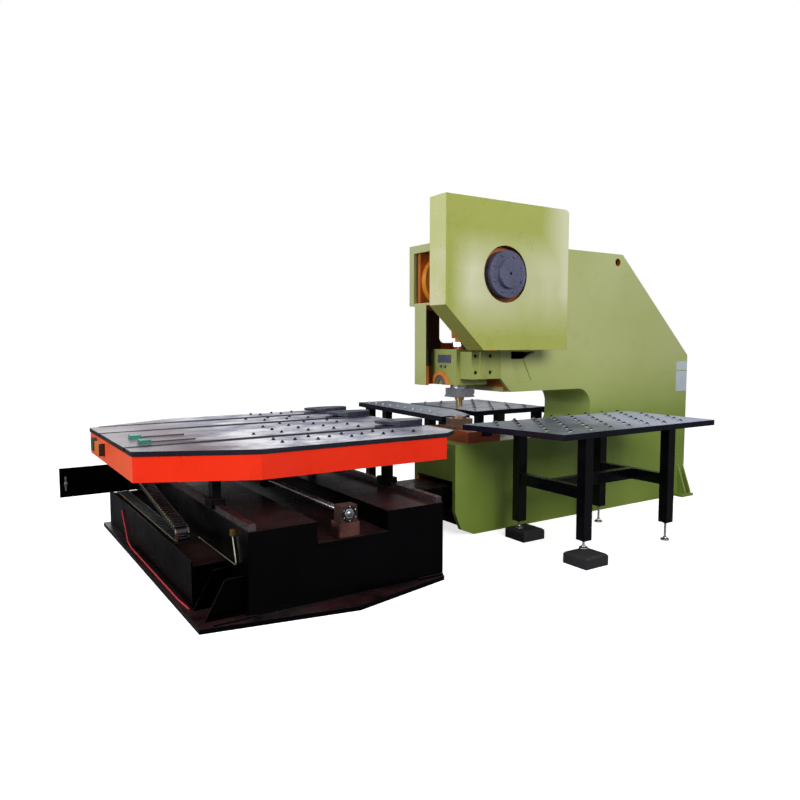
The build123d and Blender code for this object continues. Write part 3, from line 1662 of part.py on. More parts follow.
# air valve blocks between two slots and the dark hoses that leave them
valve_x = platform_left_x + 145
valve_low_ys = (slot_ys[0] + 95, slot_ys[0] + 365)
valve_half_x = 35
valve_w = 70
valve_h = 26
hose_r = 5
hose_z = table_z + 7
hose_reach = 330
with BuildPart() as air_valves:
    for low_y in valve_low_ys:
        block(
            valve_x - valve_half_x, valve_x + valve_half_x, low_y, low_y + valve_w,
            table_z, table_z + valve_h,
        )
        rod_x(
            low_y + valve_w / 2, hose_z, hose_r, valve_x + valve_half_x, valve_x + hose_reach,
        )
air_valves.part.label = "air_valves"
export_step(air_valves.part, "parts/air_valves.step")
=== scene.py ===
"""Looks of a deep-throat punching press with its feed platform and ball tables.

Every surface is a node material in object coordinates, in metres. A painted face is
base tone x slow noise, with fine orange-peel bump and a roughness that follows the noise.
A screw thread is a grid whose radius is r - depth * wave(y / pitch - angle / full turn).
A chain link is one plate outline placed along a path of two straight runs and an arc.
"""

import math

import bmesh
import bpy
import numpy as np
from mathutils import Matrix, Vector


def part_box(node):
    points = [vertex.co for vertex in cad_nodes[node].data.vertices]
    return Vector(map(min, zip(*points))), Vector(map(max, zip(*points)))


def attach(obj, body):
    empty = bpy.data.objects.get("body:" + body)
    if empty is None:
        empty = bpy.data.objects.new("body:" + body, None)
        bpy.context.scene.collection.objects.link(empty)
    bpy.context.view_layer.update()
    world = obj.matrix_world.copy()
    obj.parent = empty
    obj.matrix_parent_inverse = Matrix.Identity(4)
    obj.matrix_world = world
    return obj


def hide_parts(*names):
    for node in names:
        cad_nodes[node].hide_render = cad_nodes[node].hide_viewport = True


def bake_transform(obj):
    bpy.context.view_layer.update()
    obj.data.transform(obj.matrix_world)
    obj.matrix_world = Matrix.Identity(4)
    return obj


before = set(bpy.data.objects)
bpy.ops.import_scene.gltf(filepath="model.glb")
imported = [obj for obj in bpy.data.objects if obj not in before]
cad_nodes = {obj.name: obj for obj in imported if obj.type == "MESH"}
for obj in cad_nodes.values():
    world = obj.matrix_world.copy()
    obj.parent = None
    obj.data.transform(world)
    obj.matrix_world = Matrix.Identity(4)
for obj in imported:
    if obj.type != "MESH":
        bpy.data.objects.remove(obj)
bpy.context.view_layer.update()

# Camera, floor and light: a plain pale studio. The camera stands at eye height in front of
# the feed side; the lens makes a frame 800 points wide see what the photograph sees.
FOCAL_POINTS = 695
FRAME_POINTS = 800
SENSOR = 36
camera_data = bpy.data.cameras.new("camera")
camera_data.sensor_width = SENSOR
camera_data.lens = FOCAL_POINTS / FRAME_POINTS * SENSOR
camera_data.clip_end = 200
camera = bpy.data.objects.new("camera", camera_data)
camera.location = (-3.65, -4.92, 1.6)
camera.rotation_euler = (math.radians(90 - 4.70), 0, math.radians(-33.18))
bpy.context.scene.collection.objects.link(camera)
bpy.context.scene.camera = camera
bpy.context.scene.view_settings.view_transform = "Standard"

world = bpy.data.worlds.new("studio")
bpy.context.scene.world = world
world.use_nodes = True
sky = world.node_tree
sky.nodes.clear()


def shader_node(tree, kind, *values, **settings):
    """Adds a node to a tree. Each value, in order, sets an input or links another output to it.

    None leaves an input as it is.
    """
    made = tree.nodes.new(kind)
    for key, value in settings.items():
        setattr(made, key, value)
    for socket, value in zip(made.inputs, values):
        if isinstance(value, bpy.types.NodeSocket):
            tree.links.new(value, socket)
        elif value is not None:
            socket.default_value = value
    return made


def sky_math(kind, *values):
    """One step of sums for the sky, from numbers or from what other steps give."""
    return shader_node(sky, "ShaderNodeMath", *values, operation=kind).outputs["Value"]


# What shiny faces see: a dim hall with a row of tall bright windows low on every side.
WINDOW_COUNT = 9
PANE_SHARE = 0.62
EDGE_SHARPNESS = 6.0
SILL_Z, HEAD_Z = 0.05, 0.42
direction = shader_node(sky, "ShaderNodeTexCoord").outputs["Generated"]
toward = shader_node(sky, "ShaderNodeSeparateXYZ", direction)
bearing = sky_math("ARCTAN2", toward.outputs["X"], toward.outputs["Y"])
bay = sky_math("FRACT", sky_math("MULTIPLY_ADD", bearing, WINDOW_COUNT / (2 * math.pi), 20.2))
left_edge = sky_math("SMOOTH_MIN", sky_math("MULTIPLY", bay, EDGE_SHARPNESS), 1.0, 0.2)
right_edge = sky_math("MULTIPLY", sky_math("SUBTRACT", PANE_SHARE, bay), EDGE_SHARPNESS)
right_edge = sky_math("SMOOTH_MIN", right_edge, 1.0, 0.2)
pane = sky_math("MAXIMUM", sky_math("MULTIPLY", left_edge, right_edge), 0.0)
sill = sky_math("GREATER_THAN", toward.outputs["Z"], SILL_Z)
head = sky_math("LESS_THAN", toward.outputs["Z"], HEAD_Z)
pane = sky_math("MULTIPLY", pane, sky_math("MULTIPLY", sill, head))
glow = sky_math("MULTIPLY_ADD", pane, 1.5, 0.24)
hall = shader_node(sky, "ShaderNodeBackground", (0.95, 0.98, 1.0, 1), glow).outputs["Background"]
fill = shader_node(sky, "ShaderNodeBackground", (0.93, 0.97, 1.0, 1), 0.34).outputs["Background"]
seen = shader_node(sky, "ShaderNodeBackground", (1, 1, 1, 1)).outputs["Background"]
ray = shader_node(sky, "ShaderNodeLightPath").outputs
shiny = shader_node(sky, "ShaderNodeMixShader", ray["Is Glossy Ray"], fill, hall).outputs["Shader"]
pick = shader_node(sky, "ShaderNodeMixShader", ray["Is Camera Ray"], shiny, seen).outputs["Shader"]
shader_node(sky, "ShaderNodeOutputWorld", pick)


def soft_light(name, place, target, width, height, power, colour):
    """A rectangular lamp at a place, turned to face its target."""
    data = bpy.data.lights.new(name, "AREA")
    data.shape = "RECTANGLE"
    data.size = width
    data.size_y = height
    data.energy = power
    data.color = colour
    lamp = bpy.data.objects.new(name, data)
    lamp.location = place
    aim = Vector(target) - Vector(place)
    lamp.rotation_euler = aim.to_track_quat("-Z", "Y").to_euler()
    bpy.context.scene.collection.objects.link(lamp)


soft_light("key", (-1.0, -8.5, 4.6), (0.6, 0, 1.3), 4.5, 3.0, 440, (1.0, 0.98, 0.95))
soft_light("side", (-9.5, -1.5, 3.4), (-1.0, 0, 0.9), 3.5, 2.5, 430, (0.97, 0.98, 1.0))
soft_light("top", (0.5, 0.5, 7.5), (0.0, 0.2, 0.5), 6.0, 5.0, 200, (1.0, 1.0, 1.0))

FLOOR_HALF = 60
floor_corners = [(x * FLOOR_HALF, y * FLOOR_HALF, 0) for x, y in ((-1, -1), (1, -1), (1, 1), (-1, 1))]
floor_mesh = bpy.data.meshes.new("floor")
floor_mesh.from_pydata(floor_corners, [], [(0, 1, 2, 3)])
floor = bpy.data.objects.new("floor", floor_mesh)
bpy.context.scene.collection.objects.link(floor)
floor_paint = bpy.data.materials.new("pale_floor")
floor_paint.use_nodes = True
floor_tree = floor_paint.node_tree
floor_tree.nodes.clear()
pale = shader_node(floor_tree, "ShaderNodeBsdfDiffuse", (0.9, 0.9, 0.9, 1)).outputs["BSDF"]
lit = shader_node(floor_tree, "ShaderNodeEmission", None, 0.72).outputs["Emission"]
white = shader_node(floor_tree, "ShaderNodeAddShader", pale, lit).outputs["Shader"]
dim = shader_node(floor_tree, "ShaderNodeBsdfDiffuse", (0.16, 0.16, 0.17, 1)).outputs["BSDF"]
from_camera = shader_node(floor_tree, "ShaderNodeLightPath").outputs["Is Camera Ray"]
mixed = shader_node(floor_tree, "ShaderNodeMixShader", from_camera, dim, white).outputs["Shader"]
shader_node(floor_tree, "ShaderNodeOutputMaterial", mixed)
floor_mesh.materials.append(floor_paint)

# Painted plate: sprayed two-pack enamel over primer. The tone drifts slowly over a plate,
# the surface has orange peel, dust lies on faces that look up, and edges catch the light.


class Paint:
    """A node material that is built up step by step."""

    def __init__(self, name):
        self.material = bpy.data.materials.new(name)
        self.material.use_nodes = True
        self.tree = self.material.node_tree
        self.tree.nodes.clear()
        out = self.add("ShaderNodeOutputMaterial")
        self.shader = self.add("ShaderNodeBsdfPrincipled")
        self.join(self.shader.outputs["BSDF"], out.inputs["Surface"])
        self.place = self.add("ShaderNodeTexCoord").outputs["Object"]
        self.facing = self.add("ShaderNodeNewGeometry").outputs["Normal"]

    def add(self, kind, **settings):
        made = self.tree.nodes.new(kind)
        for key, value in settings.items():
            setattr(made, key, value)
        return made

    def join(self, source, target):
        self.tree.links.new(source, target)

    def feed(self, target, value):
        """Sets an input to a number, or links it to what another step gives."""
        if isinstance(value, bpy.types.NodeSocket):
            self.join(value, target)
        else:
            target.default_value = value

    def noise(self, scale, detail=3.0, rough=0.55, stretch=(1, 1, 1)):
        """Cloudy noise between 0 and 1, with scale clouds a metre. stretch packs them per axis."""
        spread = self.add("ShaderNodeMapping")
        spread.inputs["Scale"].default_value = stretch
        self.join(self.place, spread.inputs["Vector"])
        made = self.add("ShaderNodeTexNoise")
        made.inputs["Scale"].default_value = scale
        made.inputs["Detail"].default_value = detail
        made.inputs["Roughness"].default_value = rough
        self.join(spread.outputs["Vector"], made.inputs["Vector"])
        return made.outputs["Fac"]

    def ramp(self, value, low, high, start=0.0, end=1.0):
        """start where the value is under low, end where it is over high, straight between."""
        made = self.add("ShaderNodeMapRange", clamp=True)
        self.feed(made.inputs["Value"], value)
        made.inputs["From Min"].default_value = low
        made.inputs["From Max"].default_value = high
        made.inputs["To Min"].default_value = start
        made.inputs["To Max"].default_value = end
        return made.outputs["Result"]

    def math(self, kind, first, second=0.0):
        made = self.add("ShaderNodeMath", operation=kind)
        self.feed(made.inputs[0], first)
        self.feed(made.inputs[1], second)
        return made.outputs["Value"]

    def times(self, first, second):
        return self.math("MULTIPLY", first, second)

    def gap(self, value, centre):
        """How far a value lies from the centre, without its sign."""
        return self.math("ABSOLUTE", self.math("SUBTRACT", value, centre))

    def axis(self, which, source=None):
        """One coordinate of the place on the piece, or of another vector."""
        made = self.add("ShaderNodeSeparateXYZ")
        self.join(source or self.place, made.inputs["Vector"])
        return made.outputs[which]

    def mix(self, share, first, second):
        """Colours: first times (1 - share) plus second times share."""
        made = self.add("ShaderNodeMix", data_type="RGBA")
        self.feed(made.inputs["Factor"], share)
        self.feed(made.inputs["A"], first)
        self.feed(made.inputs["B"], second)
        return made.outputs["Result"]

    def blend(self, share, first, second):
        """Numbers: first times (1 - share) plus second times share."""
        made = self.add("ShaderNodeMix", data_type="FLOAT")
        self.feed(made.inputs["Factor"], share)
        self.feed(made.inputs["A"], first)
        self.feed(made.inputs["B"], second)
        return made.outputs["Result"]

    def bump(self, height, strength, distance):
        """Tilts the surface by a height, with all edges rounded by 4 mm in the light."""
        soft = self.add("ShaderNodeBevel", samples=4)
        soft.inputs["Radius"].default_value = 0.004
        made = self.add("ShaderNodeBump")
        made.inputs["Strength"].default_value = strength
        made.inputs["Distance"].default_value = distance
        self.join(height, made.inputs["Height"])
        self.join(soft.outputs["Normal"], made.inputs["Normal"])
        self.join(made.outputs["Normal"], self.shader.inputs["Normal"])

    def inside(self, which, low, high, source=None, soft=0.001):
        """1 where the coordinate lies between low and high, with edges soft metres wide."""
        value = self.axis(which, source)
        above = self.ramp(value, low, low + soft)
        below = self.ramp(value, high, high + soft, 1.0, 0.0)
        return self.times(above, below)

    def distance(self, first, first_centre, second, second_centre):
        """Square root of the sum of both squared gaps, along two axes."""
        first_square = self.math("POWER", self.gap(self.axis(first), first_centre), 2.0)
        second_square = self.math("POWER", self.gap(self.axis(second), second_centre), 2.0)
        return self.math("SQRT", self.math("ADD", first_square, second_square))

    def upward(self, none, full):
        """1 on faces that look up, 0 where the normal's height is below none."""
        return self.ramp(self.axis("Z", self.facing), none, full)

    def leftward(self, full, none):
        """1 on faces that look along minus X, 0 where the normal's x is above none."""
        return self.ramp(self.axis("X", self.facing), full, none, 1.0, 0.0)

    def sideways(self, none, full):
        """1 on faces that look along Y, to either side."""
        return self.ramp(self.math("ABSOLUTE", self.axis("Y", self.facing)), none, full)


def tint(red, green, blue):
    """A colour as a screen shows it, from 0 to 255, turned into light."""
    return tuple((c / 255) ** 2.2 for c in (red, green, blue)) + (1.0,)


def enamel(name, light, dark, rough=0.32, dust=0.25, dust_tone=(190, 188, 176), finish=None,
           gleam=0.5, coat=0.2):
    """Sprayed enamel between two tones. finish may mix more into colour and roughness."""
    paint = Paint(name)
    drift = paint.ramp(paint.noise(0.9, 4.0), 0.35, 0.68)
    colour = paint.mix(drift, light, dark)
    stain = paint.ramp(paint.noise(5.5, 8.0, 0.65), 0.52, 0.78, 0.0, 0.35)
    colour = paint.mix(stain, colour, tuple(c * 0.72 for c in dark[:3]) + (1.0,))
    upward = paint.upward(0.6, 1.0)
    settled = paint.times(upward, paint.ramp(paint.noise(2.6, 9.0, 0.7), 0.42, 0.75))
    settled = paint.times(settled, dust)
    colour = paint.mix(settled, colour, tint(*dust_tone))
    gloss = paint.ramp(paint.noise(3.4, 7.0, 0.6), 0.3, 0.75, rough - 0.07, rough + 0.14)
    gloss = paint.math("ADD", gloss, paint.times(settled, 0.3))
    if finish:
        colour, gloss = finish(paint, colour, gloss)
    paint.join(colour, paint.shader.inputs["Base Color"])
    paint.join(gloss, paint.shader.inputs["Roughness"])
    paint.shader.inputs["Specular IOR Level"].default_value = gleam
    paint.shader.inputs["Coat Weight"].default_value = coat
    paint.shader.inputs["Coat Roughness"].default_value = 0.12
    peel = paint.noise(150.0, 2.0)
    wave = paint.noise(2.2, 2.0)
    height = paint.math("ADD", paint.times(peel, 0.12), wave)
    paint.bump(height, 0.28, 0.006)
    return paint.material


def dress(material, *names):
    """Gives the named solids one material."""
    for name in names:
        mesh = cad_nodes[name].data
        mesh.materials.clear()
        mesh.materials.append(material)


# Press frame: flame-cut side plates, welded to the throat liner and the shell, sprayed
# yellow-green. Orange primer shows inside the frame, in the head and in the lifting hole.
# The green is painted darker low down as shade under the tables, the faces that look up
# carry a near-white painted highlight, and the primer inside the head's front is painted
# near black as shade.
PRIMER = tint(196, 104, 26)
PRIMER_DARK = tint(112, 60, 28)
PLATE_T = 0.040
WINDOW_LOW_Z, WINDOW_HIGH_Z = 1.88, 2.42
COLUMN_LOW_Z = 1.40
COLUMN_DEPTH = 0.25
near_outer_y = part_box("throat_liner")[0].y - PLATE_T
far_outer_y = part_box("throat_liner")[1].y + PLATE_T
head_front_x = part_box("head_frame")[0].x
lift_x, lift_z, lift_r = 1.727, 2.359, 0.036


def press_finish(paint, colour, gloss):
    """Painted shade: deeper green low down, near black in the head's front. Painted highlight:
    near white on faces that look up. Primer inside the frame and the lifting hole.
    """
    # Painted shade: the green deepens low down, where the tables shade the frame, and a middle band fades it
    # out up to 2 m.
    low = paint.ramp(paint.axis("Z"), 0.85, 1.5, 1.0, 0.0)
    drift = paint.ramp(paint.noise(1.1, 5.0), 0.35, 0.65)
    colour = paint.mix(low, colour, paint.mix(drift, tint(138, 160, 74), tint(122, 144, 60)))
    middle = paint.ramp(paint.axis("Z"), 1.5, 2.0, 0.45, 0.0)
    middle = paint.times(middle, paint.math("SUBTRACT", 1.0, low))
    colour = paint.mix(middle, colour, tint(178, 186, 114))
    # Painted highlight: near white on the faces that look up, above 1.4 m.
    top_highlight = paint.times(paint.upward(0.5, 0.9), paint.ramp(paint.axis("Z"), 1.4, 1.5))
    colour = paint.mix(top_highlight, colour, tint(240, 238, 212))
    behind = paint.ramp(paint.axis("X"), head_front_x + 0.010, head_front_x + 0.012)
    behind = paint.times(behind, paint.inside("Z", WINDOW_LOW_Z, WINDOW_HIGH_Z))
    behind = paint.times(behind, paint.leftward(-0.9, -0.8))
    within = paint.inside("Y", near_outer_y + PLATE_T - 0.002, far_outer_y - PLATE_T + 0.002)
    hidden = paint.times(within, paint.sideways(0.6, 0.9))
    reach = paint.distance("X", lift_x, "Z", lift_z)
    hole = paint.ramp(reach, lift_r, lift_r + 0.001, 1.0, 0.0)
    bare = paint.math("MAXIMUM", paint.math("MAXIMUM", hidden, hole), behind)
    patch = paint.mix(paint.ramp(paint.noise(4.0, 8.0), 0.35, 0.7), PRIMER, PRIMER_DARK)
    # Painted shade: near black on the primer inside the head's front, between column and ram.
    inner_shade = paint.times(paint.inside("X", head_front_x - 0.01, head_front_x + COLUMN_DEPTH),
                       paint.inside("Z", COLUMN_LOW_Z, WINDOW_LOW_Z))
    patch = paint.mix(inner_shade, patch, tint(38, 26, 20))
    return paint.mix(bare, colour, patch), paint.blend(bare, gloss, 0.6)


GREEN_DUST = (196, 196, 170)
press_paint = enamel("press_paint", tint(188, 194, 132), tint(174, 182, 110), 0.34, 0.3, GREEN_DUST,
                     press_finish)
dress(press_paint, "near_side_plate", "far_side_plate", "frame_shell", "throat_liner", "head_frame")

# Flywheel cover: folded sheet steel with a screwed face plate, sprayed like the frame. Its
# face carries a painted reflection, a pale sheen round the hole and along the right side,
# its slope is painted darker as shade, and its front return carries a mottled painted highlight.
SHEEN_Z = 2.06


def cover_finish(paint, colour, gloss):
    """Painted reflection as pale sheen on the face, painted shade on the slope, and a mottled
    painted highlight on the front edge.
    """
    # Painted reflection: a pale sheen in a band round the hole and along the right side.
    wide = paint.ramp(paint.noise(1.3, 3.0, 0.5, (1.0, 1.0, 0.7)), 0.36, 0.62)
    band = paint.ramp(paint.gap(paint.axis("Z"), SHEEN_Z), 0.1, 0.42, 1.0, 0.0)
    right = paint.times(paint.ramp(paint.axis("X"), 0.45, 0.72), paint.ramp(paint.axis("Z"), 1.75, 2.0))
    band = paint.times(band, paint.ramp(paint.axis("X"), -0.48, -0.28))
    painted_sheen = paint.times(band, paint.blend(wide, 0.45, 0.95))
    painted_sheen = paint.math("MAXIMUM", painted_sheen, paint.times(right, 0.9))
    colour = paint.mix(painted_sheen, colour, tint(220, 221, 184))
    # Painted shade: a deeper tone on the faces of the slope, which turn away from the light.
    slope_shade = paint.inside("X", -0.9, -0.4, paint.facing)
    colour = paint.mix(slope_shade, colour, tint(146, 148, 66))
    # Painted highlight: a mottled pale tone on the front return, the faces that look left.
    mottle = paint.ramp(paint.noise(3.0, 6.0), 0.42, 0.6)
    mottle = paint.times(mottle, paint.inside("Z", 1.75, 2.25, None, 0.1))
    lit_front_tone = paint.mix(mottle, tint(200, 204, 128), tint(216, 210, 162))
    colour = paint.mix(paint.leftward(-0.95, -0.92), colour, lit_front_tone)
    return colour, paint.blend(painted_sheen, gloss, 0.34)


cover_paint = enamel("cover_paint", tint(172, 180, 92), tint(160, 168, 78), 0.27, 0.25, GREEN_DUST,
                     cover_finish)
dress(cover_paint, "flywheel_cover", "cover_face_plate")

# Cross plates: the welded floor, walls and stiffeners between the side plates. They stay in
# primer, rusty low down, but the plate that closes the lower jaw is sprayed green outside,
# in a darker tone that is painted shade under the table.
cross_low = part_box("frame_cross_plates")[0]
JAW_FRONT_LOW_Z = 0.44


def cross_finish(paint, colour, gloss):
    """Rust mixed in low down, green on the outer face of the foremost plate, darkened as painted shade."""
    low = paint.ramp(paint.axis("Z"), 0.3, 0.75, 1.0, 0.0)
    rust = paint.mix(paint.ramp(paint.noise(9.0, 8.0), 0.4, 0.7), tint(176, 96, 40), tint(96, 54, 32))
    colour = paint.mix(low, colour, rust)
    foremost = paint.inside("X", cross_low.x - 0.01, cross_low.x + 0.01)
    front = paint.times(paint.leftward(-0.9, -0.8), foremost)
    front = paint.times(front, paint.ramp(paint.axis("Z"), JAW_FRONT_LOW_Z, JAW_FRONT_LOW_Z + 0.01))
    # Painted shade: this green is darker than the frame's, for the shade under the table.
    drift = paint.ramp(paint.noise(1.1, 5.0), 0.35, 0.65)
    green = paint.mix(drift, tint(128, 150, 68), tint(112, 132, 56))
    return paint.mix(front, colour, green), paint.blend(front, paint.blend(low, gloss, 0.65), 0.34)


primer_paint = enamel("primer_paint", PRIMER, PRIMER_DARK, 0.5, 0.1, (120, 100, 80), cross_finish)
dress(primer_paint, "frame_cross_plates")

# Head: bearing housings in orange primer, painted near black as shade in the recess round
# the crank, a machined steel crankshaft, and a rod that carries the same primer. They show
# through the front window.
crank_x, crank_z = 0.068, 2.137
RECESS_SHADE_R = 0.150


def housing_finish(paint, colour, gloss):
    """Painted shade, near black, in the recess within a round border of the crank's axis."""
    # Painted shade: a near-black disc round the crank's axis.
    reach = paint.distance("X", crank_x, "Z", crank_z)
    painted_lighting = paint.ramp(reach, RECESS_SHADE_R, RECESS_SHADE_R + 0.006, 1.0, 0.0)
    return paint.mix(painted_lighting, colour, tint(22, 18, 16)), paint.blend(painted_lighting, gloss, 0.3)


housing_paint = enamel("housing_paint", tint(240, 156, 52), tint(214, 122, 30), 0.36, 0.1,
                       (150, 120, 80), housing_finish)
wheel_paint = enamel("wheel_paint", tint(196, 112, 44), tint(120, 62, 26), 0.45, 0.1, (120, 100, 80))
dress(housing_paint, "bearing_housings")
dress(wheel_paint, "flywheel", "connecting_rod")


def steel(name, light, dark, rough=0.28, metallic=1.0, grain=(1, 1, 1), rust=0.0, finish=None):
    """Ground or turned steel: streaks along the grain, oily patches, a little rust."""
    paint = Paint(name)
    streak = paint.noise(60.0, 6.0, 0.6, grain)
    colour = paint.mix(paint.ramp(streak, 0.3, 0.7), light, dark)
    oil = paint.ramp(paint.noise(7.0, 6.0), 0.45, 0.7)
    colour = paint.mix(paint.times(oil, 0.4), colour, tuple(c * 0.45 for c in dark[:3]) + (1.0,))
    spots = paint.times(paint.ramp(paint.noise(24.0, 9.0, 0.7), 0.56, 0.7), rust)
    colour = paint.mix(spots, colour, tint(112, 62, 34))
    gloss = paint.ramp(streak, 0.25, 0.75, rough - 0.08, rough + 0.16)
    if finish:
        colour, gloss = finish(paint, colour, gloss)
    paint.join(colour, paint.shader.inputs["Base Color"])
    paint.join(gloss, paint.shader.inputs["Roughness"])
    paint.shader.inputs["Metallic"].default_value = metallic
    paint.bump(streak, 0.18, 0.002)
    return paint.material


bright_steel = steel("bright_steel", tint(205, 205, 208), tint(150, 150, 156), 0.3)
dress(bright_steel, "crankshaft", "adjusting_nut", "punch_holder", "x_ball_screw", "x_guides")
slate_steel = steel("slate_steel", tint(116, 118, 148), tint(82, 84, 108), 0.42, 0.55)
dress(slate_steel, "clutch_hub")
dress(enamel("motor_paint", tint(66, 74, 80), tint(42, 48, 54), 0.4), "drive_motor")

# Die set: a hardened, ground punch in its holder over the die, which is clamped in its holder
# on a bolster of painted cast iron. The motor's cast pulley has the same oiled steel skin.
tool_steel = steel("tool_steel", tint(176, 150, 132), tint(128, 100, 84), 0.38, 1.0, (1, 1, 1), 0.4)
dress(tool_steel, "die", "die_holder", "motor_pulley")
dress(steel("brass_punch", tint(196, 166, 112), tint(140, 112, 70), 0.3), "punch")
dress(enamel("bolster_paint", tint(170, 82, 46), tint(108, 48, 30), 0.42), "bolster")

# Ram: a machined box painted like the press, with a dark scale plate, two indicator studs
# and an orange arched clamp round a grey shank cap on its front, between bolted guides.
ram_paint = enamel("ram_paint", tint(158, 166, 92), tint(120, 128, 62), 0.34, 0.2)
dress(ram_paint, "ram", "ram_gibs")
dark_steel = steel("dark_steel", tint(70, 68, 74), tint(38, 36, 42), 0.42)
dress(dark_steel, "gib_bolts")
ram_low_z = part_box("ram")[0].z
RAM_MID_Y = -0.131
CAP_R = 0.0765


def arch_finish(paint, colour, gloss):
    """Grey inside the arch's inner edge, where the shank's cap is."""
    reach = paint.distance("Y", RAM_MID_Y, "Z", ram_low_z)
    cap = paint.ramp(reach, CAP_R, CAP_R + 0.001, 1.0, 0.0)
    return paint.mix(cap, colour, tint(96, 96, 92)), paint.blend(cap, gloss, 0.5)


dress(enamel("arch_paint", tint(226, 138, 62), tint(190, 100, 40), 0.4, 0.1, (140, 120, 90),
             arch_finish), "tool_clamp_arch")
dress(slate_steel, "ram_front_fittings")
dress(enamel("label_plate", tint(200, 212, 220), tint(178, 190, 198), 0.4, 0.0), "label_plates")

# Rubber parts: the V-belts, the isolation pads under two table feet, and the red air hose
# clipped along the trough, all moulded with a fine pebbled skin.


def rubber(name, tone, rough=0.75):
    """Moulded rubber: nearly black, with a fine pebbled skin and paler scuffs."""
    paint = Paint(name)
    scuff = paint.ramp(paint.noise(18.0, 8.0, 0.7), 0.5, 0.75, 0.0, 0.5)
    colour = paint.mix(scuff, tone, tuple(min(1.0, c * 3.0) for c in tone[:3]) + (1.0,))
    paint.join(colour, paint.shader.inputs["Base Color"])
    grain = paint.noise(260.0, 2.0)
    paint.join(paint.ramp(grain, 0.3, 0.7, rough - 0.1, rough + 0.1), paint.shader.inputs["Roughness"])
    paint.bump(grain, 0.3, 0.002)
    return paint.material


dress(rubber("belt_rubber", tint(30, 30, 32)), "drive_belts")
dress(rubber("pad_rubber", tint(34, 33, 36)), "isolation_pads")
dress(rubber("red_hose_skin", tint(176, 40, 48), 0.4), "red_hose")

# Feed base: heavy welded boxes in gloss black on a floor plate. Dust lies on the faces that
# look up, under a patchy red-brown tone that is strongest near the front.
BLACK_LIGHT = tint(13, 12, 14)
BLACK_DARK = tint(6, 6, 8)
BLACK_DUST = (120, 112, 108)


def black_finish(paint, colour, gloss):
    """A patchy red-brown tone on upward faces, weaker towards the back."""
    red_brown_tone = paint.times(paint.upward(0.7, 1.0), paint.ramp(paint.noise(3.0, 9.0, 0.7), 0.35, 0.7))
    red_brown_tone = paint.times(red_brown_tone, paint.ramp(paint.axis("Y"), -0.9, 0.1, 0.7, 0.3))
    return paint.mix(red_brown_tone, colour, tint(72, 42, 44)), paint.blend(red_brown_tone, gloss, 0.42)


black_paint = enamel("black_paint", BLACK_LIGHT, BLACK_DARK, 0.22, 0.12, BLACK_DUST, black_finish, 0.1, 0.0)
dress(black_paint, "base_floor_plate", "base_beams", "platform_supports", "chain_bracket", "y_motor")

# Cable trough: folded plate on gussets, painted like the base. The flame-cut edges of the
# gussets at its front end carry a near-white painted highlight.
trough_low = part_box("cable_trough")[0]
TROUGH_FRONT_Y = -0.900
GUSSET_REACH = 0.165


def trough_finish(paint, colour, gloss):
    """Near-white painted highlight ahead of the trough's front end, on faces that don't look along Y."""
    colour, gloss = black_finish(paint, colour, gloss)
    # Painted highlight: near white on the gussets' edges at the front end.
    ahead = paint.ramp(paint.axis("Y"), TROUGH_FRONT_Y - 0.005, TROUGH_FRONT_Y, 1.0, 0.0)
    along = paint.ramp(paint.math("ABSOLUTE", paint.axis("Y", paint.facing)), 0.4, 0.6, 1.0, 0.0)
    edge = paint.times(ahead, along)
    edge = paint.times(edge, paint.inside("X", trough_low.x - 0.01, trough_low.x + GUSSET_REACH))
    return paint.mix(edge, colour, tint(252, 250, 246)), paint.blend(edge, gloss, 0.35)


dress(enamel("trough_paint", tint(9, 8, 8), tint(4, 4, 4), 0.26, 0.12, BLACK_DUST, trough_finish, 0.04, 0.0),
      "cable_trough")

# Channel between the beams: painted like them, but the pedestals of the feed screw stand on
# it in worn primer. The bearing blocks on them are cast iron, rusty and never painted.
CHANNEL_TOP_Z = 0.402
PEDESTAL_LOW_X, PEDESTAL_HIGH_X = -1.75, -1.45


def channel_finish(paint, colour, gloss):
    """Red-brown primer on what stands above the channel at the screw's place."""
    colour, gloss = black_finish(paint, colour, gloss)
    raised = paint.ramp(paint.axis("Z"), CHANNEL_TOP_Z, CHANNEL_TOP_Z + 0.002)
    raised = paint.times(raised, paint.inside("X", PEDESTAL_LOW_X, PEDESTAL_HIGH_X))
    worn = paint.mix(paint.ramp(paint.noise(8.0, 7.0), 0.4, 0.65), tint(96, 64, 58), tint(62, 40, 38))
    return paint.mix(raised, colour, worn), paint.blend(raised, gloss, 0.5)


dress(enamel("channel_paint", BLACK_LIGHT, BLACK_DARK, 0.22, 0.12, BLACK_DUST, channel_finish, 0.1, 0.0),
      "base_channel")
dress(steel("bearing_iron", tint(92, 66, 54), tint(52, 36, 32), 0.5, 0.5, (1, 1, 1), 0.6),
      "y_screw_blocks")

# Linear rails: ground steel bars screwed to the beams. The top faces carry a painted red
# reflection, weaker at the near end, and the flanks are darker steel.


def rail_finish(paint, colour, gloss):
    """Painted red reflection on upward faces, weaker towards the near end."""
    # Painted reflection: red on the top faces of the rails.
    far = paint.ramp(paint.axis("Y"), -1.25, -1.05)
    painted_lighting = paint.times(paint.upward(0.7, 0.95), paint.blend(far, 0.35, 0.9))
    return paint.mix(painted_lighting, colour, tint(96, 40, 42)), paint.blend(painted_lighting, gloss, 0.4)


dress(steel("rail_steel", tint(132, 122, 124), tint(60, 46, 48), 0.32, 0.8, (40, 1, 1), 0.2, rail_finish),
      "y_rails")

# Grease pipe: a bright steel tube bent by hand, clipped along the beam, with a brass union
# at its upper end.
pipe_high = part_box("grease_pipe")[1]
UNION_H = 0.030


def pipe_finish(paint, colour, gloss):
    """Brass above the lower edge of the union."""
    union_low_z = pipe_high.z - UNION_H
    union = paint.ramp(paint.axis("Z"), union_low_z, union_low_z + 0.002)
    return paint.mix(union, colour, tint(206, 160, 84)), gloss


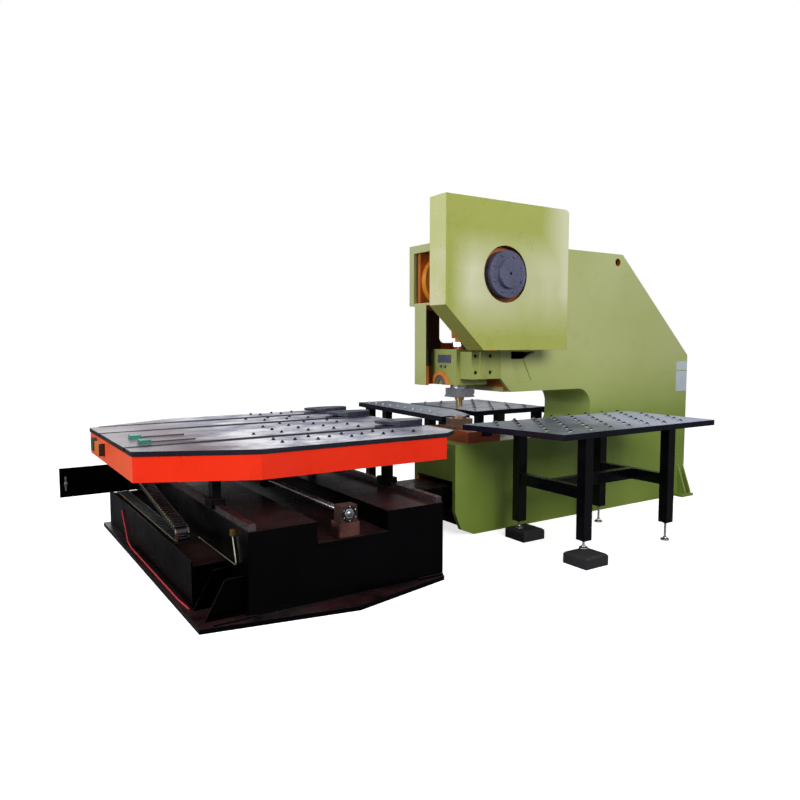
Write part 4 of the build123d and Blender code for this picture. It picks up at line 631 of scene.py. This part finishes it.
dress(steel("pipe_steel", tint(214, 210, 196), tint(150, 140, 110), 0.3, 1.0, (1, 1, 1), 0.0, pipe_finish),
      "grease_pipe")

# Platform tray: folded sheet in glossy signal red, with a salmon painted highlight on faces that look left.


def red_finish(paint, colour, gloss):
    """Painted highlight: towards salmon on the faces that look to the left."""
    return paint.mix(paint.leftward(-0.8, -0.5), colour, tint(255, 96, 52)), gloss


red_paint = enamel("platform_red", tint(252, 54, 20), tint(240, 44, 16), 0.3, 0.2, (220, 150, 130),
                   red_finish, 0.35, 0.1)
dress(red_paint, "platform_frame")

# Platform tops: four painted plates that end at the slots of the clamps. Worn paint in the
# middle carries pale blotches of painted reflection, darker navy bands run along the slots,
# and the edges stay navy.
NAVY_LIGHT = tint(22, 23, 38)
NAVY_DARK = tint(12, 13, 24)
NO_DUST = (120, 120, 120)
SLOT_YS = (-0.44, 0.375, 0.80)
BORDER = 0.055


def platform_finish(paint, colour, gloss):
    """Worn paint with pale blotches of painted reflection in the middle, a red cast at the left,
    darker navy bands along the slots.
    """
    blotch = paint.ramp(paint.noise(2.2, 9.0, 0.7, (1.0, 1.4, 1.0)), 0.42, 0.6)
    left = paint.ramp(paint.axis("X"), -2.35, -1.95, 1.0, 0.0)
    right = paint.ramp(paint.axis("X"), -1.15, -0.85)
    # Painted reflection: the pale tones stand for the windows' sheen on the worn tops.
    pale = paint.mix(left, tint(252, 250, 255), tint(150, 134, 142))
    pale = paint.mix(right, pale, tint(186, 182, 198))
    dull = paint.mix(left, tint(152, 152, 176), tint(108, 86, 94))
    dull = paint.mix(right, dull, tint(116, 114, 130))
    worn = paint.mix(blotch, dull, pale)
    scuff = paint.ramp(paint.noise(12.0, 9.0, 0.75, (0.35, 3.0, 1.0)), 0.56, 0.72, 0.0, 0.55)
    worn = paint.mix(scuff, worn, tint(60, 58, 72))
    border = 0.0
    for slot_y in SLOT_YS:
        gap = paint.gap(paint.axis("Y"), slot_y)
        border = paint.math("MAXIMUM", border, paint.ramp(gap, BORDER, BORDER + 0.005, 1.0, 0.0))
    worn = paint.mix(border, worn, tint(30, 30, 48))
    top = paint.upward(0.7, 0.95)
    return paint.mix(top, colour, worn), paint.blend(top, gloss, paint.blend(blotch, 0.3, 0.5))


dress(enamel("platform_slate", NAVY_LIGHT, NAVY_DARK, 0.28, 0.0, NO_DUST, platform_finish, 0.6, 0.12),
      "platform_tops")

# Side tables: painted sheet tops, worn slate grey on top, on black welded legs. Dark seams
# run with the rows of balls on the front and the rear table.
table_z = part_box("front_table_top")[1].z
ROW_PITCH = 0.215
ROW_LEAN = 0.77


def slate_finish(paint, colour, gloss):
    """Tops worn grey with pale wiped blotches, edges left navy black."""
    blotch = paint.ramp(paint.noise(2.4, 9.0, 0.72, (1.0, 2.2, 1.0)), 0.45, 0.66)
    worn = paint.mix(blotch, tint(84, 90, 108), tint(126, 132, 150))
    scuff = paint.ramp(paint.noise(14.0, 9.0, 0.75, (1.0, 5.0, 1.0)), 0.55, 0.72, 0.0, 0.5)
    worn = paint.mix(scuff, worn, tint(48, 50, 66))
    top = paint.upward(0.7, 0.95)
    return paint.mix(top, colour, worn), paint.blend(top, gloss, paint.blend(blotch, 0.34, 0.55))


def striped_finish(first_x, ref_y, half_width, depth, cast, cast_start, cast_share):
    """Dark seams that run with the rows of balls, and a cast that grows to the right.

    A point is on a seam where (x - first_x - lean * (y - ref_y)) / pitch is near a whole number.
    """

    def finish(paint, colour, gloss):
        colour, gloss = slate_finish(paint, colour, gloss)
        lean = paint.times(paint.math("SUBTRACT", paint.axis("Y"), ref_y), ROW_LEAN)
        along = paint.math("SUBTRACT", paint.math("SUBTRACT", paint.axis("X"), first_x), lean)
        turn = paint.math("FRACT", paint.math("ADD", paint.math("DIVIDE", along, ROW_PITCH), 20.5))
        half_share = half_width / ROW_PITCH
        line = paint.ramp(paint.gap(turn, 0.5), half_share, half_share + 0.006, depth, 0.0)
        top = paint.upward(0.7, 0.95)
        share = paint.times(top, paint.ramp(paint.axis("X"), cast_start, cast_start + 0.5))
        colour = paint.mix(paint.times(share, cast_share), colour, cast)
        line = paint.times(line, top)
        return paint.mix(line, colour, tint(18, 19, 28)), paint.blend(line, gloss, 0.5)

    return finish


def table_paint(name, finish, gleam):
    return enamel(name, NAVY_LIGHT, NAVY_DARK, 0.28, 0.0, NO_DUST, finish, gleam, 0.0)


front_seams = striped_finish(-0.201, -1.0, 0.0035, 0.6, tint(186, 190, 220), 0.55, 0.8)
rear_seams = striped_finish(0.158, 0.8, 0.009, 0.9, tint(60, 60, 72), -0.6, 0.85)
dress(table_paint("front_slate", front_seams, 0.3), "front_table_top")
dress(table_paint("rear_slate", rear_seams, 0.12), "rear_table_top")
dress(table_paint("slate_paint", slate_finish, 0.3), "strip_table_top")
leg_paint = enamel("leg_paint", tint(15, 15, 22), tint(7, 7, 12), 0.26, 0.15, (120, 118, 120), None, 0.3,
                   0.0)
dress(leg_paint, "front_table_frame", "rear_table_frames")

# Clamps: a carriage under the platform with three lower jaws, and a cast upper jaw on each,
# all in dark slate enamel.
dress(enamel("clamp_paint", tint(46, 48, 66), tint(26, 27, 40), 0.26, 0.15), "clamp_carriage",
      "upper_jaw_near", "upper_jaw_middle", "upper_jaw_far")

# End boxes on the left end of the platform: an orange motor box whose faces along Y are
# painted near black as shade, and a dark green plug beside it.
PALE_DUST = (190, 188, 176)
PLUG_LOW_Y = 0.44


def box_finish(paint, colour, gloss):
    """Painted shade, nearly black, on the faces along Y; dark green on the plug."""
    colour = paint.mix(paint.sideways(0.4, 0.6), colour, tint(34, 22, 16))
    plug = paint.ramp(paint.axis("Y"), PLUG_LOW_Y, PLUG_LOW_Y + 0.01)
    return paint.mix(plug, colour, tint(58, 70, 44)), paint.blend(plug, gloss, 0.5)


dress(enamel("box_orange", tint(240, 140, 40), tint(222, 112, 30), 0.35, 0.1, PALE_DUST, box_finish),
      "platform_end_boxes")

# Air valves: moulded teal blocks screwed to the platform, with black hoses that leave them
# to the right.
valve_low_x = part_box("air_valves")[0].x
VALVE_W = 0.0702


def valve_finish(paint, colour, gloss):
    """Black past the right face of the blocks."""
    hose = paint.ramp(paint.axis("X"), valve_low_x + VALVE_W, valve_low_x + VALVE_W + 0.0006)
    return paint.mix(hose, colour, tint(34, 34, 40)), paint.blend(hose, gloss, 0.45)


dress(enamel("valve_teal", tint(24, 150, 130), tint(16, 104, 92), 0.3, 0.1, PALE_DUST, valve_finish),
      "air_valves")

# Ball transfer units: a pressed steel flange let into the table round a hard dark ball, with
# white balls on the strip table. Their places are read from the solids, one unit for each
# loose part of the node.
TABLE_FLANGE_R = 0.023
PLATFORM_FLANGE_R = 0.015
ball_steel = steel("ball_steel", tint(60, 60, 66), tint(30, 30, 34), 0.16)
ball_white = steel("ball_white", tint(226, 226, 230), tint(190, 190, 196), 0.2, 0.3)
flange_steel = steel("flange_steel", tint(196, 196, 200), tint(120, 120, 126), 0.34)


def mesh_piece(name, points, faces, material, body, slot, smooth=True):
    """Makes a piece from points and faces. It rides on the body, if one is named."""
    mesh = bpy.data.meshes.new(name)
    mesh.from_pydata(np.asarray(points).tolist(), [], [list(map(int, face)) for face in faces])
    mesh.validate()
    if smooth:
        mesh.shade_smooth()
    else:
        mesh.shade_flat()
    mesh.materials.append(material)
    piece = bpy.data.objects.new(name, mesh)
    bpy.context.scene.collection.objects.link(piece)
    if body:
        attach(piece, body)
    return piece


def grid_faces(rows, around, ring=False):
    """Faces between the rows of a grid that closes round, and a flat cap at both ends.

    For a ring the last row is joined to the first instead of the caps.
    """
    i, j = np.meshgrid(np.arange(rows if ring else rows - 1), np.arange(around), indexing="ij")
    row = i * around
    next_row = (i + 1) % rows * around
    beside = (j + 1) % around
    corners = [row + j, row + beside, next_row + beside, next_row + j]
    faces = np.stack(corners, axis=-1).reshape(-1, 4).tolist()
    if not ring:
        faces.append(list(range(around))[::-1])
        faces.append(list(range((rows - 1) * around, rows * around)))
    return faces


def turned(profile, count, ring=False):
    """Points and faces of a profile of (radius, height) pairs turned about Z."""
    profile = np.asarray(profile, float)
    angles = np.linspace(0, 2 * math.pi, count, endpoint=False)
    x = np.outer(profile[:, 0], np.cos(angles))
    y = np.outer(profile[:, 0], np.sin(angles))
    z = np.repeat(profile[:, 1:2], count, axis=1)
    points = np.stack([x, y, z], axis=-1).reshape(-1, 3)
    return points, grid_faces(len(profile), count, ring)


def joined(*forms):
    """Several forms, each of points and faces, as one."""
    points = []
    faces = []
    shift = 0
    for form_points, form_faces in forms:
        points.append(form_points)
        faces.extend([[index + shift for index in face] for face in form_faces])
        shift += len(form_points)
    return np.concatenate(points), faces


def placed(points, faces, spots, turn=None):
    """The same small form, turned by a matrix and set down at each spot, as one form."""
    if turn is not None:
        points = points @ np.asarray(turn, float).T
    return joined(*[(points + np.asarray(spot, float), faces) for spot in spots])


def turned_piece(name, profile, count, spots, turn, material, body, slot, smooth=True):
    """A profile turned about its axis and set down at each spot, as one piece."""
    return mesh_piece(name, *placed(*turned(profile, count), spots, turn), material, body, slot, smooth)


def loose_parts(name):
    """The points of each loose part of a node, found by walking along the edges."""
    mesh = bmesh.new()
    mesh.from_mesh(cad_nodes[name].data)
    bmesh.ops.remove_doubles(mesh, verts=mesh.verts, dist=1e-5)
    left = set(mesh.verts)
    parts = []
    while left:
        stack = [left.pop()]
        group = list(stack)
        while stack:
            for edge in stack.pop().link_edges:
                for vertex in edge.verts:
                    if vertex in left:
                        left.remove(vertex)
                        stack.append(vertex)
                        group.append(vertex)
        parts.append(np.array([vertex.co for vertex in group]))
    mesh.free()
    return parts


def unit_spots(name):
    """Middle of each loose part, halfway between its lowest and highest x and y."""
    middles = [(part.min(0) + part.max(0)) / 2 for part in loose_parts(name)]
    return [(middle[0], middle[1]) for middle in middles]


def ball_profile(flange_r, ball_r, top):
    """Flange, a tapered collar that holds the ball at its middle, and the ball's cap."""
    centre = top - ball_r
    rim = centre + ball_r * 0.2
    lip = [(0.0015, 0.0), (flange_r, 0.0), (flange_r, 0.0018), (flange_r * 0.93, 0.003)]
    lip += [(ball_r * 1.32, 0.003), (ball_r * 1.16, rim - 0.001), (ball_r * 1.1, rim)]
    lip += [(ball_r * 1.01, rim), (ball_r * 0.97, rim - 0.002), (0.0015, rim - 0.002)]
    start = math.asin((rim - 0.002 - centre) / ball_r)
    cap = []
    for step in np.linspace(start, math.pi / 2 - 0.08, 9):
        cap.append((ball_r * math.cos(step), centre + ball_r * math.sin(step)))
    return lip, cap


def ball_pieces(label, node, body, spots, flange_r, ball_material, lip_material):
    """Two pieces: the flanges and the balls of all units at the spots."""
    ball_r = flange_r * 0.57
    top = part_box(node)[1].z - table_z
    lip, cap = ball_profile(flange_r, ball_r, top)
    spots = [(x, y, table_z) for x, y in spots]
    flanges = turned_piece(label + "_flanges", lip, 20, spots, None, lip_material, body, "ball_chrome")
    turned_piece(label + "_balls", cap, 20, spots, None, ball_material, body, "ball_chrome")
    return flanges


table_spots = unit_spots("table_balls")
strip_spots = [spot for spot in table_spots if spot[1] > 0.1 and spot[0] < 0.3]
other_spots = [spot for spot in table_spots if spot not in strip_spots]
table_lips = ball_pieces("side_table", "table_balls", "machine", other_spots, TABLE_FLANGE_R, ball_steel,
                         flange_steel)
ball_pieces("strip_table", "table_balls", "machine", strip_spots, TABLE_FLANGE_R, ball_white, flange_steel)
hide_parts("table_balls")
platform_lips = ball_pieces("platform", "platform_balls", "platform", unit_spots("platform_balls"),
                            PLATFORM_FLANGE_R, ball_steel, dark_steel)
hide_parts("platform_balls")

# Feed screw: a rolled ball screw with a deep round thread, 20 mm radius, and a hexagon nut on
# its front end. The grid's rows go along the screw.
screw_low, screw_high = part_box("y_ball_screw")
screw_x = (screw_low.x + screw_high.x) / 2
screw_z = (screw_low.z + screw_high.z) / 2
collar_end_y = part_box("y_screw_blocks")[0].y
SCREW_R = 0.020
THREAD_DEPTH = 0.0028
THREAD_PITCH = 0.020
NUT_GAP = 0.0008
TO_Y = np.array([[1, 0, 0], [0, 0, -1], [0, 1, 0]])


def thread_piece():
    """Points and faces of the thread, with 20 points round and 8 rows to a pitch.

    Radius = SCREW_R - THREAD_DEPTH * wave, where wave is 1.4 * cosine of the full turns
    (y / THREAD_PITCH - angle / full turn), kept between 0 and 1.
    """
    around = 20
    rows = int((screw_high.y - collar_end_y) / THREAD_PITCH * 8)
    along = np.linspace(collar_end_y - 0.01, screw_high.y, rows)[:, None]
    angle = np.linspace(0, 2 * math.pi, around, endpoint=False)
    turn = along / THREAD_PITCH - angle / (2 * math.pi)
    radius = SCREW_R - THREAD_DEPTH * np.clip(np.cos(2 * math.pi * turn) * 1.4, 0, 1)
    x = screw_x + radius * np.sin(angle)
    z = screw_z + radius * np.cos(angle)
    y = np.repeat(along, around, axis=1)
    points = np.stack([x, y, z], axis=-1).reshape(-1, 3)
    return points, grid_faces(rows, around)


thread = mesh_piece("feed_screw_thread", *thread_piece(), bright_steel, "feed_screw", "bright_steel")
nut_w = collar_end_y - screw_low.y - NUT_GAP
nut = [(0.012, 0.0), (0.034, 0.0), (0.034, nut_w * 0.8), (0.031, nut_w), (0.012, nut_w)]
turned_piece("feed_screw_nut", nut, 6, [(screw_x, screw_low.y + nut_w, screw_z)], TO_Y, bright_steel,
             "feed_screw", "bright_steel", False)
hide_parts("y_ball_screw")

# Round cover on the front bearing block of the feed screw: a turned ring with six cap screws
# sunk half a millimetre into its face.
RING_SCREW_R = 0.045
ring = [(0.037, 0.0), (0.052, 0.0), (0.052, 0.005), (0.050, 0.007), (0.038, 0.007), (0.037, 0.006)]
ring_form = placed(*turned(ring, 40, True), [(screw_x, collar_end_y, screw_z)], TO_Y)
mesh_piece("bearing_flange", *ring_form, dark_steel, "machine", "block_steel")


def cap_screw(radius, height, socket):
    """Profile of a socket-head screw: plain side, chamfered top, a socket half its height."""
    return [(0.0006, 0.0), (radius, 0.0), (radius, height * 0.85), (radius * 0.9, height),
            (socket, height), (socket * 0.95, height * 0.45), (0.0006, height * 0.45)]


ring_screws = []
for step in range(6):
    turn = math.radians(60 * step + 30)
    x = screw_x + RING_SCREW_R * math.cos(turn)
    z = screw_z + RING_SCREW_R * math.sin(turn)
    ring_screws.append((x, collar_end_y - 0.0065, z))
turned_piece("bearing_flange_screws", cap_screw(0.005, 0.005, 0.0025), 12, ring_screws, TO_Y,
             bright_steel, "machine", "block_steel")

# Drag chain: moulded side plates and cross bars, one link every 45 mm, lying in the trough,
# round its bend and up to the platform. Pale tan strips over the outer edge of each link are
# a painted highlight on the side plates.
chain_low, chain_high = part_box("drag_chain")
LINK = 0.045
CHAIN_T = 0.030
BEND_R = 0.046
RISE = math.radians(8.1)
CHAIN_END_Y = 0.700


def chain_path():
    """Middle line of the chain as (y, z, direction), one link apart.

    It runs level to the bend, round an arc of BEND_R, and then climbs by the angle RISE.
    """
    low_z = chain_low.z + CHAIN_T / 2
    bend_y = chain_low.y + CHAIN_T / 2 + BEND_R
    start_y = chain_high.y
    length_low = start_y - bend_y
    arc = BEND_R * (math.pi - RISE)
    top_y = bend_y - BEND_R * math.sin(RISE)
    top_z = low_z + BEND_R + BEND_R * math.cos(RISE)
    length_up = (CHAIN_END_Y - top_y) / math.cos(RISE)
    spots = []
    for run in np.arange(LINK / 2, length_low + arc + length_up, LINK):
        if run < length_low:
            spots.append((start_y - run, low_z, math.pi))
        elif run < length_low + arc:
            angle = (run - length_low) / BEND_R
            y = bend_y - BEND_R * math.sin(angle)
            z = low_z + BEND_R - BEND_R * math.cos(angle)
            spots.append((y, z, math.pi - angle))
        else:
            rest = run - length_low - arc
            spots.append((top_y + rest * math.cos(RISE), top_z + rest * math.sin(RISE), RISE))
    return spots


def slab(low, high, chamfer):
    """Points and faces of a block with all its edges chamfered."""
    low = np.asarray(low, float)
    high = np.asarray(high, float)
    made = bmesh.new()
    for sx in (0, 1):
        for sy in (0, 1):
            for sz in (0, 1):
                corner = np.where([sx, sy, sz], high, low)
                inward = np.where([sx, sy, sz], -chamfer, chamfer)
                for keep in range(3):
                    point = corner + inward
                    point[keep] = corner[keep]
                    made.verts.new(point.tolist())
    hull = bmesh.ops.convex_hull(made, input=made.verts)
    inner = [item for item in hull["geom_interior"] if isinstance(item, bmesh.types.BMVert)]
    bmesh.ops.delete(made, geom=inner, context="VERTS")
    made.verts.index_update()
    points = np.array([vertex.co for vertex in made.verts])
    faces = [[vertex.index for vertex in face.verts] for face in made.faces]
    made.free()
    return points, faces


def along_chain(points, faces):
    """A link's form in (x, along, up), turned and set down at every place of the chain."""
    links = []
    for y, z, angle in chain_path():
        c = math.cos(angle)
        s = math.sin(angle)
        moved_y = y + points[:, 1] * c - points[:, 2] * s
        moved_z = z + points[:, 1] * s + points[:, 2] * c
        links.append((np.stack([points[:, 0], moved_y, moved_z], axis=-1), faces))
    return joined(*links)


x0, x1 = chain_low.x, chain_high.x
half_t = CHAIN_T / 2
SIDE_T = 0.012
SIDE_HALF = 0.021
BAR_INSET = 0.010
BAR_HALF = 0.013
link_form = joined(
    slab((x0, -SIDE_HALF, -half_t), (x0 + SIDE_T, SIDE_HALF, half_t), 0.003),
    slab((x1 - SIDE_T, -SIDE_HALF, -half_t), (x1, SIDE_HALF, half_t), 0.003),
    slab((x0 + BAR_INSET, -BAR_HALF, half_t - 0.006), (x1 - BAR_INSET, BAR_HALF, half_t - 0.001), 0.001),
    slab((x0 + BAR_INSET, -BAR_HALF, -half_t + 0.001), (x1 - BAR_INSET, BAR_HALF, -half_t + 0.006), 0.001),
)
chain_plastic = enamel("chain_plastic", tint(30, 29, 31), tint(16, 16, 18), 0.42, 0.2, (90, 84, 80))
chain = mesh_piece("chain_links", *along_chain(*link_form), chain_plastic, None, "chain_plastic", False)
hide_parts("drag_chain")
# Painted highlight: pale tan strips on the outer side plate of each link.
highlight_form = joined(
    slab((x0 + 0.001, -0.010, half_t - 0.003), (x0 + 0.011, 0.010, half_t), 0.001),
    slab((x0 + 0.001, -0.010, -half_t), (x0 + 0.011, 0.010, -half_t + 0.003), 0.001),
)
highlight_tan = enamel("chain_edge_highlight", tint(226, 204, 128), tint(190, 166, 96), 0.5, 0.0)
edge_highlights = mesh_piece("chain_edge_highlights", *along_chain(*highlight_form), highlight_tan, None, "chain_plastic", False)
for piece in (chain, edge_highlights):
    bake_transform(piece)

# Cables in the chain: three of them, in red moulded jackets, show inside its bend. They lie
# beside each other, 19 mm apart.
CABLE_R = 0.005
CABLE_PITCH = 0.019


def resampled(path, step):
    """The path cut into even steps of about this length, and the way to each from its start."""
    run = np.concatenate([[0], np.cumsum(np.linalg.norm(np.diff(path, axis=0), axis=1))])
    along = np.linspace(0, run[-1], max(4, int(run[-1] / step)))
    return np.stack([np.interp(along, run, path[:, k]) for k in range(3)], axis=-1), along


def tube(path, radius):
    """Points and faces of a round cable: the path's corners are cut three times, then circles
    of this radius stand across it every 8 mm."""
    path = np.asarray(path, float)
    for _ in range(3):
        early = path[:-1] * 0.75 + path[1:] * 0.25
        late = path[:-1] * 0.25 + path[1:] * 0.75
        cut = np.stack([early, late], axis=1).reshape(-1, 3)
        path = np.concatenate([path[:1], cut, path[-1:]])
    path = resampled(path, 0.008)[0]
    ahead = np.gradient(path, axis=0)
    ahead /= np.linalg.norm(ahead, axis=1, keepdims=True)
    guide = np.array([0.31, 0.17, 0.93])
    side = np.cross(ahead, guide)
    side /= np.linalg.norm(side, axis=1, keepdims=True)
    up = np.cross(side, ahead)
    around = 10
    angle = np.linspace(0, 2 * math.pi, around, endpoint=False)[:, None]
    circle = side[:, None, :] * np.cos(angle) + up[:, None, :] * np.sin(angle)
    points = (path[:, None, :] + radius * circle).reshape(-1, 3)
    return points, [face[::-1] for face in grid_faces(len(path), around)]


bend_y = chain_low.y + CHAIN_T / 2 + BEND_R
bend_z = chain_low.z + CHAIN_T / 2 + BEND_R
red_cables = []
for number in range(3):
    across = x0 + 0.028 + CABLE_PITCH * number
    cable_path = [
        (across, bend_y + 0.05, bend_z - 0.016 + 0.005 * number),
        (across, bend_y - 0.008, bend_z - 0.009 + 0.006 * number),
        (across + 0.003, bend_y - 0.024, bend_z + 0.009),
        (across, bend_y + 0.03, bend_z + 0.022),
    ]
    red_cables.append(tube(cable_path, CABLE_R))
mesh_piece("chain_cables", *joined(*red_cables), rubber("cable_red", tint(150, 30, 34), 0.4), "machine",
           "hose_red")

# Levelling feet: a cast disc with a domed top, a threaded stud and a lock nut under the leg.
# Each foot's place is read from the solid; the leg ends at the same height on all of them.
LEG_END = 0.150
STUD_PITCH = 0.0025
STUD_LOW = 0.024
foot_steel = steel("foot_steel", tint(196, 196, 200), tint(132, 132, 138), 0.34)
dress(foot_steel, "levelling_feet")


def foot_form(stud_length):
    """Disc, stud and nut of one foot. The stud's radius goes to and fro once a pitch."""
    disc = [(0.0006, 0.0), (0.033, 0.0), (0.034, 0.001), (0.034, 0.008), (0.031, 0.012), (0.018, 0.017),
            (0.0145, 0.026), (0.0006, 0.026)]
    stud = [(0.0006, STUD_LOW)]
    for turn in range(int((stud_length - STUD_LOW) / STUD_PITCH)):
        stud.append((0.0082, STUD_LOW + STUD_PITCH * turn))
        stud.append((0.0092, STUD_LOW + STUD_PITCH / 2 + STUD_PITCH * turn))
    stud += [(0.0082, stud_length + 0.002), (0.0006, stud_length + 0.002)]
    nut = [(0.0006, 0.0), (0.0155, 0.0), (0.017, 0.0015), (0.017, 0.0105), (0.0155, 0.012), (0.0006, 0.012)]
    points, faces = turned(nut, 6)
    return joined(turned(disc, 28), turned(stud, 14), (points + (0, 0, stud_length - 0.0125), faces))


feet = []
for part in loose_parts("levelling_feet"):
    x, y = ((part.min(0) + part.max(0)) / 2)[:2]
    z = part[:, 2].min()
    points, faces = foot_form(LEG_END - z)
    feet.append((points + (x, y, z), faces))
levellers = mesh_piece("levelling_feet_turned", *joined(*feet), foot_steel, "machine", "dark_fasteners",
                       False)
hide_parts("levelling_feet")

# Guide bolts: four black socket-head screws in the counterbores of the near guide, one in
# each of its corners.
bolt_low, bolt_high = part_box("gib_bolts")
BOLT_R = 0.013
guide_bolts = []
for x in (bolt_low.x + BOLT_R, bolt_high.x - BOLT_R):
    for z in (bolt_low.z + BOLT_R, bolt_high.z - BOLT_R):
        guide_bolts.append((x, bolt_high.y, z))
bolt_profile = cap_screw(BOLT_R, bolt_high.y - bolt_low.y, 0.007)
bolts = turned_piece("guide_bolts", bolt_profile, 24, guide_bolts, TO_Y, dark_steel, "machine",
                     "dark_fasteners", False)
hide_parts("gib_bolts")

# Screws of the flywheel cover: flat heads of bright steel. Two are at the joint of band and
# face plate above the hole, four along the right side.
cover_low, cover_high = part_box("flywheel_cover")
FACE_SCREW_X, FACE_SCREW_Z = 0.10, 0.254
SIDE_SCREW_YS = (-0.62, -0.50)
SIDE_SCREW_ZS = (1.910, 2.170)
TO_X = np.array([[0, 0, -1], [0, 1, 0], [1, 0, 0]])
head_profile = [(0.0006, 0.0), (0.009, 0.0), (0.0085, 0.0022), (0.006, 0.0042), (0.0006, 0.0048)]
cover_screws = []
for x in (crank_x - FACE_SCREW_X, crank_x + FACE_SCREW_X):
    cover_screws.append((x, cover_low.y, crank_z + FACE_SCREW_Z))
turned_piece("cover_face_screws", head_profile, 20, cover_screws, TO_Y, bright_steel, "machine",
             "dark_fasteners")
side_screws = []
for z in SIDE_SCREW_ZS:
    for y in SIDE_SCREW_YS:
        side_screws.append((cover_high.x, y, z))
turned_piece("cover_side_screws", head_profile, 20, side_screws, TO_X, bright_steel, "machine",
             "dark_fasteners")

# Weld beads: a fillet weld with its ripples, where the beams of the base stand on the floor
# plate. It runs along the front, the right side and the start of the left side.
BEAD_R = 0.006
RIPPLE = 0.012
BEAM_REACH = 0.438


def bead(path, lean):
    """Points and faces of a fillet weld along a path. lean points level, away from the beam.

    Radius = BEAD_R * (0.88 + 0.12 * size of sine of half a turn for each RIPPLE of way).
    """
    middle, along = resampled(np.asarray(path, float), 0.004)
    ripple = BEAD_R * (0.88 + 0.12 * np.abs(np.sin(along * math.pi / RIPPLE)))
    outward = np.asarray(lean, float)
    up = np.array([0, 0, 1.0])
    points = []
    for angle in np.linspace(-0.12, math.pi / 2 + 0.12, 5):
        points.append(middle + ripple[:, None] * (outward * math.cos(angle) + up * math.sin(angle)))
    points.append(middle - 0.002 * (outward + up))
    around = len(points)
    return np.stack(points, axis=1).reshape(-1, 3), grid_faces(len(middle), around)


beam_low, beam_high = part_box("base_beams")
base_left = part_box("base_channel")[0].x - BEAM_REACH
base_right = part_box("base_channel")[1].x + BEAM_REACH
front_left = (base_left, beam_low.y, beam_low.z)
front_right = (base_right, beam_low.y, beam_low.z)
base_beads = joined(
    bead([front_left, front_right], (0, -1, 0)),
    bead([front_right, (base_right, beam_high.y, beam_low.z)], (1, 0, 0)),
    bead([front_left, (base_left, beam_low.y + 0.3, beam_low.z)], (-1, 0, 0)),
)
mesh_piece("base_welds", *base_beads, black_paint, "machine", "frame_black")

# Rail screws: a row of steel plugs in the counterbores along each feed rail, 120 mm apart,
# that close them nearly flush.
rail_low, rail_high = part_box("y_rails")
RAIL_MIDDLE = 0.0225
PLUG_PITCH = 0.12
plugs = []
for x in (rail_low.x + RAIL_MIDDLE, rail_high.x - RAIL_MIDDLE):
    for y in np.arange(rail_low.y + PLUG_PITCH / 2, rail_high.y, PLUG_PITCH):
        plugs.append((x, y, rail_high.z - 0.0003))
plug = [(0.0006, 0.0), (0.0105, 0.0), (0.0105, 0.0006), (0.0095, 0.0008), (0.0088, 0.0004), (0.0006, 0.0004)]
turned_piece("rail_plugs", plug, 20, plugs, None, dark_steel, "machine", "bright_steel")

# Latch strip on the panel at the rear left corner: a bare pressed steel keeper with a raised
# catch across its middle.
panel_low, panel_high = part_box("cable_trough")
panel_face_y = panel_high.y - 0.006
strip_low = (panel_low.x + 0.040, panel_face_y - 0.006, 0.345)
strip_high = (panel_low.x + 0.055, panel_face_y + 0.001, 0.465)
catch_low = (panel_low.x + 0.034, panel_face_y - 0.014, 0.392)
catch_high = (panel_low.x + 0.061, panel_face_y - 0.004, 0.418)
latch = joined(slab(strip_low, strip_high, 0.002), slab(catch_low, catch_high, 0.003))
mesh_piece("panel_latch", *latch, flange_steel, "machine", "label_grey", False)

# Rivets of the two bare plates on the back edge of the press, one in each corner, with a low
# round head.
label_low, label_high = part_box("label_plates")
RIVET_INSET = 0.010
LOWER_PLATE_TOP = 0.196
UPPER_PLATE_FOOT = 0.083
rivet = [(0.0004, 0.0), (0.0032, 0.0), (0.0028, 0.0012), (0.0012, 0.0020), (0.0004, 0.0021)]
rivets = []
for x in (label_low.x + RIVET_INSET, label_high.x - RIVET_INSET):
    for z in (label_low.z + RIVET_INSET, label_low.z + LOWER_PLATE_TOP,
              label_high.z - UPPER_PLATE_FOOT, label_high.z - RIVET_INSET):
        rivets.append((x, label_low.y, z))
turned_piece("label_rivets", rivet, 12, rivets, TO_Y, bright_steel, "machine", "label_grey")
